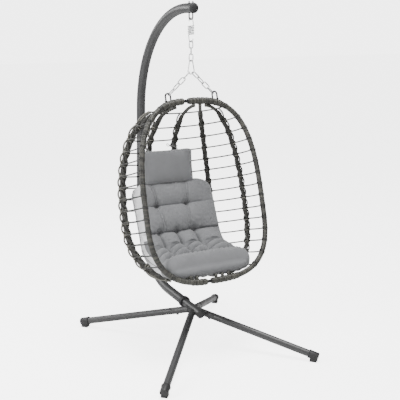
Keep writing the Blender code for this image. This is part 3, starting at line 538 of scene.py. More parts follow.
def down_of(direction):
    """Straight down, but square to a direction."""
    down = Vector((0, 0, -1))
    return (down - direction * down.dot(direction)).normalized()


def bent_line(corners, radii, step=0.012):
    """A line through corners, each rounded by its own radius."""
    corners = [Vector(corner) for corner in corners]
    points = [corners[0]]
    for before, corner, after, radius in zip(corners, corners[1:], corners[2:], radii):
        into, out = (before - corner).normalized(), (after - corner).normalized()
        half = into.angle(out) / 2
        centre = corner + (into + out).normalized() * (radius / sin(half))
        setback = radius / (sin(half) / cos(half))
        first, last = corner + into * setback, corner + out * setback
        turn = (first - centre).angle(last - centre)
        axis = (first - centre).cross(last - centre).normalized()
        count = max(4, round(radius * turn / step))
        for index in range(count + 1):
            bend = Matrix.Rotation(turn * index / count, 3, axis)
            points.append(centre + bend @ (first - centre))
    points.append(corners[-1])
    return points


def tube_with_ends(name, points, diameter, material, sides=48, lip=0.0012):
    """A tube whose cut ends are slightly rounded."""
    points = [Vector(point) for point in points]
    start, end = points[0], points[-1]
    into = (points[1] - start).normalized()
    out = (points[-2] - end).normalized()
    line = [start, start + into * lip * 0.4, start + into * lip] + points[1:-1] + [
        end + out * lip, end + out * lip * 0.4, end]
    radii = np.full(len(line), diameter / 2)
    radii[[0, -1]] -= lip * 0.8
    radii[[1, -2]] -= lip * 0.25
    return sweep(name, line, radii, material, sides, smooth=50)


def weld_bead(name, centre, normal, radius, material, lumps=40):
    """A rippled ring of weld round a tube's root."""
    normal = Vector(normal).normalized()
    across = normal.orthogonal().normalized()
    up = normal.cross(across)
    points = [Vector(centre) + (across * cos(a) + up * sin(a)) * radius
              for a in np.linspace(0, 2 * pi, 96, endpoint=False)]
    return sweep(name, points, 0.0030, material, 10, closed=True,
                 ripple=lambda s, a: 0.0007 * np.sin(s / (2 * pi * radius) * 2 * pi * lumps))


def straight(start, end, step=0.02):
    """Points along a straight line."""
    start, end = Vector(start), Vector(end)
    count = max(2, int((end - start).length / step))
    return [start.lerp(end, k / count) for k in range(count + 1)]


def build_hub():
    """The stub, the four leg sleeves and the weld at each sleeve's root."""
    rear = stub_point(STUB_REAR + STUB_SPIGOT)
    parts = [tube_with_ends("stub", straight(stub_point(STUB_FRONT), rear), STUB_TUBE, COAT)]
    for name, corner in CORNERS.items():
        direction = leg_direction(*corner)
        parts.append(tube_with_ends(f"sleeve_{name}",
                                    straight(HUB + direction * SLEEVE_START,
                                             HUB + direction * SLEEVE_END), LEG_TUBE, COAT))
        flat = Vector((direction.x, 0, direction.z * 0.6)).normalized()
        root = HUB + direction * 0.036
        parts.append(weld_bead(f"bead_{name}", root, direction * 0.55 + flat * 0.45, 0.0212, COAT))
    hub = join("hub", parts)
    set_on(hub, "stand", "powder_coat", "base_hub")


def build_legs():
    """Four leg tubes over the sleeves' spigots, each with its bolt and foot."""
    length = hypot(LEG_REACH, HUB_HEIGHT - FOOT_CENTRE)
    for name, corner in CORNERS.items():
        direction = leg_direction(*corner)
        leg = tube_with_ends(f"leg_tube_{name}",
                             straight(HUB + direction * (SLEEVE_END + 0.0006),
                                      HUB + direction * (length + 0.012), 0.05), LEG_TUBE, COAT)
        set_on(leg, "stand", "powder_coat", f"leg_{name}")
        down = down_of(direction)
        seat = HUB + direction * 0.108 + down * (LEG_TUBE / 2 - 0.0004)
        bolt = hexagon(f"bolt_{name}", seat, down, BOLT_ACROSS, 0.0052, BLACK_STEEL)
        set_on(bolt, "stand", "black_steel", f"leg_bolt_{name}")
        build_foot(name, direction, length)


def build_foot(name, direction, length):
    """A closed cap with a rim, and a block under it whose foot stands flat."""
    foot = HUB + direction * length
    outer = LEG_TUBE / 2 + 0.0030
    half = 0.028
    profile = [(0.0, half), (outer - 0.005, half), (outer - 0.0016, half - 0.0012),
               (outer, half - 0.0045), (outer + 0.0004, -half + 0.0065),
               (outer + 0.0022, -half + 0.005), (outer + 0.0026, -half + 0.002),
               (outer + 0.0016, -half), (outer - 0.0022, -half),
               (outer - 0.0026, -half + 0.002), (outer - 0.0026, half - 0.004),
               (0.0, half - 0.004)]
    cap = turned(f"cap_{name}", profile, foot, direction, PLASTIC)
    bpy.ops.mesh.primitive_cube_add(size=1.0, location=(0, 0, 0))
    block = bpy.context.active_object
    block.scale = (0.040, 0.036, FOOT_CENTRE)
    settle(block)
    bevel_edges(0.0030, 3)
    for vertex in block.data.vertices:
        vertex.co.x *= 1.0 - 0.10 * (vertex.co.z / FOOT_CENTRE + 0.5)
    block.data.materials.append(PLASTIC)
    block.matrix_world = Matrix.Translation((foot.x, foot.y, FOOT_CENTRE / 2)) @ (
        Matrix.Rotation(atan2(direction.y, direction.x), 4, "Z"))
    settle(block)
    smooth_by(40)
    set_on(join(f"foot_{name}", [cap, block]), "stand", "black_plastic", f"foot_cap_{name}")


def pole_line():
    corners = [stub_point(STUB_REAR), stub_point(0.729), Vector((0, 0.670 + SHIFT, POLE_TOP)),
               Vector((0, POLE_END + SHIFT, POLE_TOP))]
    return bent_line(corners, (0.43, 0.626))


def point_at_height(points, height):
    for before, after in zip(points, points[1:]):
        if before.z <= height < after.z:
            return before.lerp(after, (height - before.z) / (after.z - before.z))
    return points[-1]


def build_poles():
    """The two pole tubes, the slimmer swage between them, and two bolts through."""
    line = pole_line()
    seam = point_at_height(line, POLE_JOINT)
    upright = [point for point in line if point.z < POLE_JOINT]
    arm = [point for point in line if point.z > POLE_JOINT + 0.006]
    lower = tube_with_ends("lower_pole_tube", upright + [seam], POLE_TUBE, COAT)
    set_on(lower, "stand", "powder_coat", "lower_pole")
    start = point_at_height(line, POLE_JOINT + 0.0008)
    swage = sweep("swage", straight(point_at_height(line, POLE_JOINT - 0.01), start, 0.004),
                  0.0245, COAT, 48)
    upper = tube_with_ends("upper_pole_tube", [start] + arm, POLE_TUBE, COAT)
    set_on(join("upper_pole_tube", [upper, swage]), "stand", "powder_coat", "upper_pole")
    for number, height in enumerate(POLE_BOLTS):
        centre = point_at_height(line, height)
        for label, way in (("head", 1), ("nut", -1)):
            seat = centre + Vector((0, way * (POLE_TUBE / 2 - 0.0006), 0))
            bolt = hexagon(f"pole_bolt_{label}_{number + 1}", seat, (0, way, 0), BOLT_ACROSS,
                           0.0056, BLACK_STEEL)
            set_on(bolt, "stand", "black_steel")


def build_collar():
    profile = [(0.0272, 0.0220), (0.0310, 0.0222), (0.0330, 0.0205), (0.0340, 0.0180),
               (0.0343, 0.0100), (0.0340, 0.0000), (0.0330, -0.0030), (0.0308, -0.0040),
               (0.0250, -0.0040), (0.0247, -0.0020), (0.0247, -0.0003), (0.0272, -0.0003),
               (0.0272, 0.0220)]
    collar = turned("collar_ring", profile, stub_point(STUB_REAR), STUB_AXIS, PLASTIC, 64)
    set_on(collar, "stand", "black_plastic", "pole_collar")


def end_cap(name, node, tube, place, direction):
    radius = tube / 2
    profile = [(0.0, 0.0062), (radius * 0.45, 0.0058), (radius * 0.8, 0.0042),
               (radius * 0.97, 0.0018), (radius + 0.0008, 0.0012), (radius + 0.0010, 0.0004),
               (radius - 0.003, 0.0003), (radius - 0.003, -0.013), (0.0, -0.013)]
    cap = turned(name, profile, place, direction, PLASTIC)
    set_on(cap, "stand", "black_plastic", node)


def build_u_bolt():
    """A bent bar with threaded ends over the arm, and its two nuts."""
    half, wire = 0.011, 0.004
    bottom = SWING_Z + half
    arm_top = POLE_TOP + POLE_TUBE / 2
    top = arm_top + 0.0105
    path = [Vector((-half, HOOK_Y, z)) for z in np.arange(top, bottom, -0.0004)]
    path += arc((0, HOOK_Y, bottom), half, pi, 2 * pi, 40)[1:]
    path += [Vector((half, HOOK_Y, z)) for z in np.arange(bottom, top, 0.0004)[1:]]
    depth = np.array([0.00045 if point.z > arm_top - 0.004 else 0.0 for point in path])
    u_bolt = sweep("u_bolt", path, wire - depth / 2, BLACK_STEEL, 20,
                   ripple=lambda s, a: depth[:, None] * np.sin(2 * pi * s / 0.00125 + a) / 2)
    set_on(u_bolt, "stand", "black_steel", "hanger_u_bolt")
    for label, side in (("left", -1), ("right", 1)):
        seat = Vector((side * half, HOOK_Y, arm_top - 0.0004))
        nut = hexagon(f"nut_{label}", seat, (0, 0, 1), 0.0142, 0.0060, ZINC)
        set_on(nut, "stand", "black_steel", f"u_bolt_nut_{label}")


# ---------------------------------------------------------------- hanger

CHAIN_WIRE = 0.0055                    # the wire's size where the links' places are worked out
LINK_WIRE = 0.0057
WIRE_GAP = 0.0009
LINK_LENGTH, LINK_WIDTH = 0.0465, 0.0275
YOKE_LENGTH, YOKE_TOP_WIDTH, YOKE_FOOT_WIDTH = 0.0815, 0.026, 0.044
EYE_X, EYE_RADIUS, EYE_WIRE = 0.146, 0.015, 0.008
U_BOLT_WIRE, SPRING_WIRE, SPRING_HOOK, COIL_PITCH = 0.008, 0.005, 0.040, 0.0096
SWING_Z = POLE_TOP - 0.060
LINK_LINE = LINK_LENGTH - CHAIN_WIRE
LINK_STEP = LINK_LENGTH - 2 * CHAIN_WIRE - WIRE_GAP
LINK_TWISTS = (0, 57, 132)
HOOK_TOP = SWING_Z + (U_BOLT_WIRE + SPRING_WIRE) / 2 + WIRE_GAP
COIL_TOP = HOOK_TOP - SPRING_HOOK
COIL_FOOT = COIL_TOP - 5 * COIL_PITCH
FIRST_LINK_TOP = COIL_FOOT - SPRING_HOOK + (SPRING_WIRE + CHAIN_WIRE) / 2 + WIRE_GAP
YOKE_TOP = FIRST_LINK_TOP - LINK_LINE - 2 * LINK_STEP + CHAIN_WIRE + WIRE_GAP
YOKE_FOOT_RADIUS = (YOKE_FOOT_WIDTH - CHAIN_WIRE) / 2
YOKE_CENTRE = Vector((0, HOOK_Y, YOKE_TOP - (YOKE_LENGTH - CHAIN_WIRE) + YOKE_FOOT_RADIUS))


def oval(length, top_width, foot_width, count=18, middle=10):
    """A closed outline that hangs from its top: two half rounds and two straight sides."""
    top, foot = top_width / 2, foot_width / 2
    points = arc((0, 0, -top), top, 0, pi, count + 1)
    corners = [Vector((side * reach, 0, level)) for side in (-1, 1)
               for reach, level in ((top, -top), (foot, -length + foot))]
    points += [corners[0].lerp(corners[1], k / middle) for k in range(1, middle)]
    points += arc((0, 0, -length + foot), foot, pi, 2 * pi, count + 1)
    points += [corners[3].lerp(corners[2], k / middle) for k in range(1, middle)]
    return points


def link_piece(name, node, top, direction, twist, length):
    """A welded link: an oval of wire with a small lump at its weld."""
    lean = Vector((0, 0, -1)).rotation_difference(Vector(direction)).to_matrix()
    turn = lean @ Matrix.Rotation(radians(twist), 3, "Z")
    width = LINK_WIDTH - CHAIN_WIRE
    points = [turn @ point + Vector(top) for point in oval(length, width, width)]
    radii = np.full(len(points), LINK_WIRE / 2)
    radii[22:25] += (0.0003, 0.0006, 0.0003)
    link = sweep(name, points, radii, ZINC, 14, closed=True)
    set_on(link, BODY_OF[node], "zinc_steel", node)


def build_spring():
    """An extension coil with a hook at each end."""
    mean, rise, hook = 0.016, 0.027, 0.013
    hook_turn, steps = radians(200), 264
    points = arc((0, 0, COIL_TOP + rise), hook, hook_turn, 0, 25)
    points.append(Vector((mean * 0.93, 0, COIL_TOP + rise * 0.5)))
    points += [Vector((mean * cos(2 * pi * k / 48), mean * sin(2 * pi * k / 48),
                       COIL_TOP - (COIL_TOP - COIL_FOOT) * k / steps)) for k in range(steps + 1)]
    points.append(Vector((-mean * 0.93, 0, COIL_FOOT - rise * 0.5)))
    points += arc((0, 0, COIL_FOOT - rise), hook, pi, pi + hook_turn, 25)
    turn = Matrix.Rotation(radians(-65), 3, "Z")
    points = [turn @ point + Vector((0, HOOK_Y, 0)) for point in points]
    coil = sweep("coil_spring", resample(points, 0.0022), SPRING_WIRE / 2, ZINC, 14)
    set_on(coil, BODY_OF["spring"], "zinc_steel", "spring")


def build_chain():
    """Three links, the pear-shaped yoke, and a chain leg to each side."""
    for index, twist in enumerate(LINK_TWISTS):
        top = Vector((0, HOOK_Y, FIRST_LINK_TOP - index * LINK_STEP))
        link_piece(f"link_{index + 1}", f"chain_link_{index + 1}", top, (0, 0, -1), twist,
                   LINK_LINE)
    points = oval(YOKE_LENGTH - CHAIN_WIRE, YOKE_TOP_WIDTH - CHAIN_WIRE,
                  YOKE_FOOT_WIDTH - CHAIN_WIRE)
    points = [point + Vector((0, HOOK_Y, YOKE_TOP)) for point in points]
    set_on(sweep("yoke", points, LINK_WIRE / 2, ZINC, 14, closed=True),
           BODY_OF["yoke_link"], "zinc_steel", "yoke_link")
    leg_chain(-1, "left", (66, 140, 30, 90))
    leg_chain(1, "right", (116, 40, 150, 90))


def leg_chain(side, label, twists):
    """Four links in line from the yoke to one of the hoop's eyes."""
    eye = Vector((side * EYE_X, HOOK_Y, EYES_Z - EYE_RADIUS))
    direction = (eye - YOKE_CENTRE).normalized()
    overlap = CHAIN_WIRE + WIRE_GAP
    start = YOKE_FOOT_RADIUS - overlap
    end = (eye - YOKE_CENTRE).length - EYE_RADIUS + (CHAIN_WIRE + EYE_WIRE) / 2 + WIRE_GAP
    length = (end - start + 3 * overlap) / 4
    for index, twist in enumerate(twists):
        top = YOKE_CENTRE + direction * (start + index * (length - overlap))
        link_piece(f"{label}_link_{index + 1}", f"{label}_chain_link_{index + 1}", top,
                   direction, twist, length)


# ---------------------------------------------------------------- basket

HOOP_TUBE = 0.030
HOOP_TOP = -0.047
HALF_WIDTH = 0.366
WIDEST = HOOP_TOP - 0.616
HOOP_FOOT = HOOP_TOP - 0.998
HOOP_POWER = 3.0
RIB_POWER = 2.4
FOLD_X = -0.0415                       # the rivets' place across
PIVOT_DROP = 0.026                     # from the hoop's middle line to a rib's pivot
# each rib's way out from the hoop in degrees, its reach, and its pivots' place across
RIB_PLACES = {"a": (127.5, 0.357, -0.150), "b": (95.1, 0.419, -0.112), "c": (86.6, 0.427, 0.005),
              "d": (62.5, 0.418, 0.045), "e": (36.0, 0.357, 0.083)}
RUNG_PITCH = 0.0648
RUNG_LEVELS = [HOOP_TOP - 0.038 - index * RUNG_PITCH for index in range(15)]
CORD_RADIUS = 0.0040
RUNG_CLEAR_OUT, RUNG_CLEAR_SIDE = 0.0165, 0.0175      # from a rib's axis to a rung's
RIB_BARE = 0.055                       # a rib's unbraided length below its top pivot


def egg_radius(angle, half_width=HALF_WIDTH, top=HOOP_TOP, foot=HOOP_FOOT, power=HOOP_POWER):
    """How far an egg's outline lies from its middle, at an angle from straight up."""
    height = top - WIDEST if cos(angle) > 0 else WIDEST - foot
    return ((abs(sin(angle)) / half_width) ** power
            + (abs(cos(angle)) / height) ** power) ** (-1 / power)


def egg_width(level, half_width=HALF_WIDTH, top=HOOP_TOP, foot=HOOP_FOOT, power=HOOP_POWER):
    """Half an egg's width at a level."""
    height = top - WIDEST if level > WIDEST else WIDEST - foot
    share = min(1.0, abs(level - WIDEST) / height)
    return half_width * (1 - share ** power) ** (1 / power)


def egg_level(x, end=HOOP_TOP):
    """The hoop's level at a place across, on its upper side or towards another end."""
    share = (1 - (abs(x) / HALF_WIDTH) ** HOOP_POWER) ** (1 / HOOP_POWER)
    return WIDEST + (end - WIDEST) * share


def hoop_points(side):
    """One half of the hoop in the basket's frame, top neck to foot neck."""
    neck = FOLD_X + side * 0.013
    outline = []
    for angle in np.linspace(0, pi, 721):
        radius = egg_radius(angle)
        outline.append(Vector((side * radius * sin(angle), 0, WIDEST + radius * cos(angle))))
    if side > 0:
        flat = np.linspace(neck, 0, 8)[:-1]
        start = [Vector((x, 0, egg_level(x))) for x in flat]
        end = [Vector((x, 0, egg_level(x, HOOP_FOOT))) for x in flat[::-1]]
        return start + outline + end
    return [point for point in outline if point.x <= neck]


def wound(name, points, radius, material, pitch=0.0052, depth=0.0007, step=0.0013, sides=28,
          swell=None):
    """A tube closely wound with strand, so that each turn stands up a little."""
    path = resample(points, step)
    reach = np.full(len(path), radius)
    if swell is not None:
        reach = reach + swell(arc_lengths(path))
    return sweep(name, path, reach, material, sides,
                 ripple=lambda s, a: depth * (np.abs(np.sin(pi * (s / pitch + a / (2 * pi)))) ** 0.6
                                              - 0.6), smooth=70)


def rough_binding(name, local, radius):
    """Thick, uneven winding over a stretch of the hoop, drawn in at its ends."""
    part = basket_path(local)
    total = arc_lengths(np.array([tuple(point) for point in part]))[-1]

    def lumps(run):
        return (-0.0040 * np.abs(2 * run / total - 1) ** 14
                + 0.0009 * np.sin(run * 2 * pi / 0.027) + 0.0007 * np.sin(run * 2 * pi / 0.0113))

    return wound(name, part[::3] + [part[-1]], radius, WRAP, pitch=0.0056, depth=0.0014,
                 step=0.0010, swell=lumps)


def build_hoop(side, label):
    body = BODY_OF[f"hoop_{label}"]
    local = hoop_points(side)
    world = basket_path(local)
    tube = wound(f"hoop_wrap_{label}", world[::6] + [world[-1]], HOOP_TUBE / 2, WRAP)
    set_on(tube, body, "rattan", f"hoop_{label}")
    near = side * FOLD_X + 0.0150
    for suffix, above, far, radius in (("top", True, 0.194, 0.0186),
                                       ("foot", False, 0.150, 0.0178)):
        part = [point for point in local
                if near <= side * point.x <= far and (point.z > WIDEST) == above]
        binding = rough_binding(f"hoop_binding_{suffix}_{label}", part, radius)
        set_on(binding, body, "rattan")
    build_eye(side, label, body)
    build_hinge_plates(side, label, body)


def build_eye(side, label, body):
    """A bent rod that stands on the hoop, with a ripple of weld round each foot."""
    half = EYE_RADIUS
    x = side * EYE_X
    level = egg_level(x)
    points = [Vector((x - half, 0, z)) for z in np.linspace(level - 0.004, -half, 8)]
    points += arc((x, 0, -half), half, pi, 0, 25)[1:-1]
    points += [Vector((x + half, 0, z)) for z in np.linspace(-half, level - 0.004, 8)]
    eye = sweep(f"hanging_eye_{label}", basket_path(points), 0.0049, BLACK_STEEL, 18)
    set_on(eye, body, "black_steel")
    rings = [weld_bead(f"eye_root_{label}", basket(x + offset, 0, level + 0.0175),
                       basket_way(0, 0, 1), 0.0050, BLACK_STEEL, 14) for offset in (-half, half)]
    set_on(join(f"eye_roots_{label}", rings), body, "black_steel")


def build_hinge_plates(side, label, body):
    """A flat tongue at each end of the half hoop, rounded about the rivet."""
    round_end, thick = 0.011, 0.0055
    tongues = []
    lift = side * -1 * (thick / 2 + 0.0002)
    for level in (HOOP_TOP, HOOP_FOOT):
        outline = [(side * round_end * cos(angle), round_end * sin(angle))
                   for angle in np.linspace(pi / 2, 3 * pi / 2, 17)]
        outline += [(side * 0.024, -0.009), (side * 0.024, 0.009)]
        mesh = bpy.data.meshes.new("tongue")
        shape = bmesh.new()
        face = shape.faces.new([shape.verts.new((x, y, -thick / 2)) for x, y in outline])
        for item in bmesh.ops.extrude_face_region(shape, geom=[face])["geom"]:
            if isinstance(item, bmesh.types.BMVert):
                item.co.z += thick
        bmesh.ops.recalc_face_normals(shape, faces=shape.faces)
        bmesh.ops.bevel(shape, geom=list(shape.edges), offset=0.0005, segments=2,
                        affect="EDGES")
        shape.to_mesh(mesh)
        shape.free()
        mesh.transform(BASKET_FRAME @ Matrix.Translation((FOLD_X, 0, level + lift)))
        tongues.append(adopt(f"tongue_{label}", mesh, BLACK_STEEL, 30))
        plug = [(0.0, 0.0014), (0.0110, 0.0014), (0.0142, 0.0006), (0.0146, -0.002), (0.0, -0.002)]
        tongues.append(turned(f"tube_end_{label}", plug, basket(FOLD_X + side * 0.0135, 0, level),
                              -basket_way(side, 0, 0), BLACK_STEEL))
    set_on(join(f"hinge_tongues_{label}", tongues), body, "black_steel")


def build_rivets():
    upper = [(0.0, 0.0090), (0.0030, 0.0088), (0.0055, 0.0080), (0.0068, 0.0066),
             (0.0070, 0.0061), (0.0040, 0.0061)]
    profile = upper + [(radius, -height) for radius, height in upper[::-1]]
    for label, level in (("top", HOOP_TOP), ("foot", HOOP_FOOT)):
        rivet = turned(f"hinge_rivet_{label}", profile, basket(FOLD_X, 0, level),
                       basket_way(0, 0, 1), BLACK_STEEL)
        set_on(rivet, BASKET, "black_steel", f"hinge_pin_{label}")


def rib_drop(x):
    """How far below the hoop's middle line a rib's pivot lies, at a place across."""
    slope = (egg_level(abs(x) - 0.001) - egg_level(abs(x) + 0.001)) / 0.002
    return PIVOT_DROP * hypot(1, slope)


def rib_ends(x):
    return egg_level(x) - rib_drop(x), egg_level(x, HOOP_FOOT) + rib_drop(x)


def rib_out(label):
    """The level direction in which a rib stands out from the hoop."""
    angle = radians(RIB_PLACES[label][0])
    return Vector((cos(angle), sin(angle), 0))


def rib_axis(label):
    """A rib's axis in the basket's frame, as even points, top to foot."""
    _, reach, x = RIB_PLACES[label]
    points = []
    for angle in np.linspace(0, pi, 361):
        radius = egg_radius(angle, reach, *rib_ends(x), RIB_POWER)
        points.append(Vector((x, 0, WIDEST + radius * cos(angle)))
                      + rib_out(label) * radius * sin(angle))
    return resample(points, 0.004)


def level_phase(level):
    """How many rungs down a level is, counted from the first."""
    return (RUNG_LEVELS[0] - level) / RUNG_PITCH


def build_rib(label):
    """A wound core on two pivots, a three-strand braid, two open loops, and ties at the rungs."""
    body = BODY_OF[f"rib_{label}"]
    x = RIB_PLACES[label][2]
    axis = rib_axis(label)
    out = np.array(tuple(rib_out(label)))
    across = np.array([-out[1], out[0], 0.0])
    tangents = np.gradient(axis, axis=0)
    tangents /= np.linalg.norm(tangents, axis=1)[:, None]
    outward = np.cross(across, tangents)
    if outward[len(axis) // 2] @ out < 0:
        outward = -outward
    phase = np.array([level_phase(point[2]) for point in axis])
    run = arc_lengths(axis)
    world = basket_path(axis)
    core = wound(f"rib_core_{label}", world[::3] + [world[-1]], 0.0092, WRAP, step=0.0016,
                 sides=20, depth=0.0005)
    set_on(core, body, "rattan", f"rib_{label}")
    drop = rib_drop(x)
    pivot = [(0.0, drop), (0.0072, drop - 0.0002), (0.0080, drop - 0.002), (0.0086, 0.010),
             (0.0096, 0.0070), (0.0098, 0.0020), (0.0088, -0.0025), (0.0060, -0.0052),
             (0.0, -0.0060)]
    ends = [turned(f"rib_end_{label}", pivot, basket(x, 0, level - up * (drop + 0.004)),
                   basket_way(0, 0, up), WRAP)
            for level, up in ((egg_level(x), 1), (egg_level(x, HOOP_FOOT), -1))]
    set_on(join(f"rib_pivots_{label}", ends), body, "rattan")
    braided = [k for k in range(len(axis)) if 0.25 < phase[k] < 14.1
               and run[k] > RIB_BARE and run[-1] - run[k] > RIB_BARE * 0.8]
    wide = {"a": 1.28, "b": 1.12}.get(label, 1.0)
    # Ribs a and b take the lighter braid copy on their open loops: painted highlight on the lit
    # outer side.
    open_strand = BRAID_PAINTED_HIGHLIGHT if wide > 1 else BRAID
    strands = []
    for strand in range(3):
        path = []
        for k in braided:
            turn = 2 * pi * (phase[k] * 0.5 + strand / 3)
            fade = min(1.0, (k - braided[0]) / 10, (braided[-1] - k) / 10)
            reach = (0.0098 + 0.0018 * cos(2 * pi * phase[k])) * (0.6 + 0.4 * fade)
            path.append(axis[k] + outward[k] * cos(turn) * reach + across * sin(turn) * reach)
        strands.append(sweep(f"strand_{label}_{strand}", basket_path(resample(path, 0.003)),
                             0.0064 * wide, BRAID, 12,
                             ripple=lambda s, a: 0.0011 * np.sin(s * 2 * pi / 0.0098 + a)))
    set_on(join(f"rib_braid_{label}", strands), body, "rattan")
    loops = []
    for strand in (-1, 1):
        path = []
        for k in braided:
            spread = sin(pi * phase[k])
            bulge = (0.0155 + 0.0040 * abs(spread)) * wide
            path.append(axis[k] + outward[k] * bulge + across * (strand * 0.0112 * spread * wide))
        loops.append(sweep(f"loop_{label}_{strand}", basket_path(resample(path, 0.003)),
                           0.0042 * wide, open_strand, 10))
    set_on(join(f"rib_loops_{label}", loops), body, "rattan")
    ties = []
    for index in range(1, 15):
        k = int(np.argmin(np.abs(phase - index)))
        if k not in braided:
            continue
        for shift, lean in ((-0.0035, 0.35), (0.0035, -0.25)):
            ring = [axis[k] + tangents[k] * shift
                    + (outward[k] * (cos(a) * 0.0175 * wide + 0.0040 * wide)
                       + across * sin(a) * 0.0168) + tangents[k] * cos(a) * 0.016 * lean
                    for a in np.linspace(0, 2 * pi, 28, endpoint=False)]
            # One tie of each pair, and both ties on ribs a and b, take the lighter braid copy:
            # painted highlight.
            ties.append(sweep(f"tie_{label}_{index}", basket_path(ring), 0.0026,
                              BRAID_PAINTED_HIGHLIGHT if shift > 0 else open_strand, 8, closed=True))
    set_on(join(f"rib_ties_{label}", ties), body, "rattan")


def distance_to_line(point, line):
    nearest = []
    for before, after in zip(line, line[1:]):
        along = after - before
        share = max(0.0, min(1.0, (point - before).dot(along) / along.length_squared))
        nearest.append((point - before - along * share).length)
    return min(nearest)


def clear_width(label, level):
    """Where a level cord passes outside a rib: the rib's own width there, and the cord's."""
    _, reach, x = RIB_PLACES[label]
    egg = (reach, *rib_ends(x), RIB_POWER)
    line = []
    for angle in np.linspace(0, pi, 61):
        radius = egg_radius(angle, *egg)
        line.append(Vector((radius * sin(angle), WIDEST + radius * cos(angle))))
    start = egg_width(level, *egg)
    near, far = start, start + 0.2
    for _ in range(22):
        middle = (near + far) / 2
        if distance_to_line(Vector((middle, level)), line) < RUNG_CLEAR_OUT:
            near = middle
        else:
            far = middle
    return start, far


def taut_path(points):
    """The way round the outside of level points, from the first of them to the last."""
    def turn(a, b, c):
        return (b.x - a.x) * (c.y - a.y) - (b.y - a.y) * (c.x - a.x)

    def chain(ordered):
        kept = []
        for point in ordered:
            while len(kept) > 1 and turn(kept[-2], kept[-1], point) <= 1e-9:
                kept.pop()
            kept.append(point)
        return kept[:-1]

    ordered = sorted(points, key=lambda point: (point.x, point.y))
    hull = chain(ordered) + chain(ordered[::-1])
    start = hull.index(points[0])
    hull = hull[start:] + hull[:start]
    return hull[:hull.index(points[-1]) + 1]


def hoop_tie(x, level):
    """A cord's two turns round the hoop's tube, at a level on one side."""
    side = 1 if x > 0 else -1
    widening = egg_width(level + 0.002) - egg_width(level - 0.002)
    along = Vector((side * widening, 0, 0.004)).normalized()
    back = Vector((0, 1, 0))
    out = back.cross(along)
    points = []
    for a in np.linspace(-0.5 * pi, 3.5 * pi, 56):
        rise = (a - 1.5 * pi) / (2 * pi) * CORD_RADIUS * 2.0
        points.append(Vector((x, 0, level)) + along * rise
                      + (out * cos(a) + back * sin(a)) * (HOOP_TUBE / 2 + CORD_RADIUS * 0.15))
    return basket_path(points)


def build_rung(number, level):
    """A cord drawn taut round all the ribs, tied round the hoop at both ends."""
    half = egg_width(level)
    points = [Vector((half, 0, level))]
    for label, (_, _, x) in RIB_PLACES.items():
        start, far = clear_width(label, level)
        out = rib_out(label)
        side = Vector((-out.y, out.x, 0))
        centre = Vector((x, 0, level)) + out * start
        points += [centre + out * (far - start) * cos(a) + side * RUNG_CLEAR_SIDE * sin(a)
                   for a in np.linspace(-pi / 2, pi / 2, 13)]
    points.append(Vector((-half, 0, level)))
    path = taut_path(points)
    slack = []
    for before, after in zip(path, path[1:]):
        gap = (after - before).length
        steps = max(1, int(gap / 0.012))
        for k in range(steps):
            point = before.lerp(after, k / steps)
            point.z -= 0.0016 * sin(pi * k / steps) * min(1.0, gap / 0.2)
            slack.append(point)
    slack.append(path[-1])
    offset = HOOP_TUBE / 2 + CORD_RADIUS * 0.3
    for index, other in ((0, 1), (-1, -2)):
        slack[index] = slack[index] + (slack[other] - slack[index]).normalized() * offset
    cord = sweep(f"rung_cord_{number:02d}", basket_path(slack), CORD_RADIUS, CORD, 10)
    near_tie, far_tie = [sweep(f"rung_tie_{number}_{side}", hoop_tie(side * half, level),
                               CORD_RADIUS * 0.62, CORD, 8) for side in (1, -1)]
    rung = join(f"rung_cord_{number:02d}", [cord, near_tie])
    set_on(rung, None, "rung_cord", f"rung_{number:02d}")
    fold_away(rung)
    far_tie.name = f"rung_tie_left_{number:02d}"
    set_on(far_tie, BODY_OF["hoop_left"], "rung_cord")


def fold_away(piece):
    """Apply a piece's place to its mesh, leaving it on no body."""
    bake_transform(piece)


# ---------------------------------------------------------------- cushions

PAD_X = -0.046
# the middle line of the pad from the seat's front to the back's top, with half its thickness
PAD_LINE = [(-0.014, -0.966, 0.060), (0.060, -0.948, 0.066), (0.130, -0.924, 0.069),
            (0.190, -0.898, 0.068), (0.236, -0.862, 0.063), (0.262, -0.805, 0.057),
            (0.276, -0.720, 0.053), (0.290, -0.620, 0.051), (0.306, -0.530, 0.050),
            (0.319, -0.456, 0.047)]
SEAT_HALF, BACK_HALF = 0.266, 0.252
FRONT_SHIFT = 0.026                    # the seat's front stands further right than the back
ROW_SHARES = (0.125, 0.215, 0.311, 0.5655, 0.785)    # roll, three rows of puffs, lower back
COLUMN_SEAMS = (-0.304, -0.190, -0.082, 0.032, 0.208)
BACK_BUTTONS = (-0.176, 0.013)
LINED_BELOW = 0.30                     # the boxing and the back are lining, behind the front edge
AROUND, ALONG = 300, 210


def pad_curve(count):
    line = resample(PAD_LINE, 0.004)
    length = arc_lengths(line[:, :2])
    shares = np.linspace(0, 1, count)
    curve = np.stack([np.interp(shares * length[-1], length, line[:, k]) for k in range(3)], axis=1)
    tangents = np.gradient(curve[:, :2], axis=0)
    tangents /= np.linalg.norm(tangents, axis=1)[:, None]
    normals = np.stack([-tangents[:, 1], tangents[:, 0]], axis=1)
    return curve, normals, length[-1]


def smooth_step(value, low, high):
    share = np.clip((value - low) / (high - low), 0, 1)
    return share * share * (3 - 2 * share)


def pad_outline(share, length):
    """Middle and half width of the pad at a share of its length, and how full it is there."""
    end = np.minimum(share, 1 - share) * length
    full = np.clip(end / 0.040, 0, 1)
    full = np.sqrt(np.clip(1 - (1 - full) ** 2.6, 0, 1))
    corner = np.clip((1 - share) * length / 0.080, 0, 1)
    front = np.clip(share * length / 0.055, 0, 1)
    narrow = (1 - 0.26 * (1 - corner) ** 2.4) * (1 - 0.10 * (1 - front) ** 2.4)
    half = (SEAT_HALF + (BACK_HALF - SEAT_HALF) * smooth_step(share, 0.2, 0.6)) * narrow
    return PAD_X + FRONT_SHIFT * (1 - smooth_step(share, 0.1, 0.5)), half, full


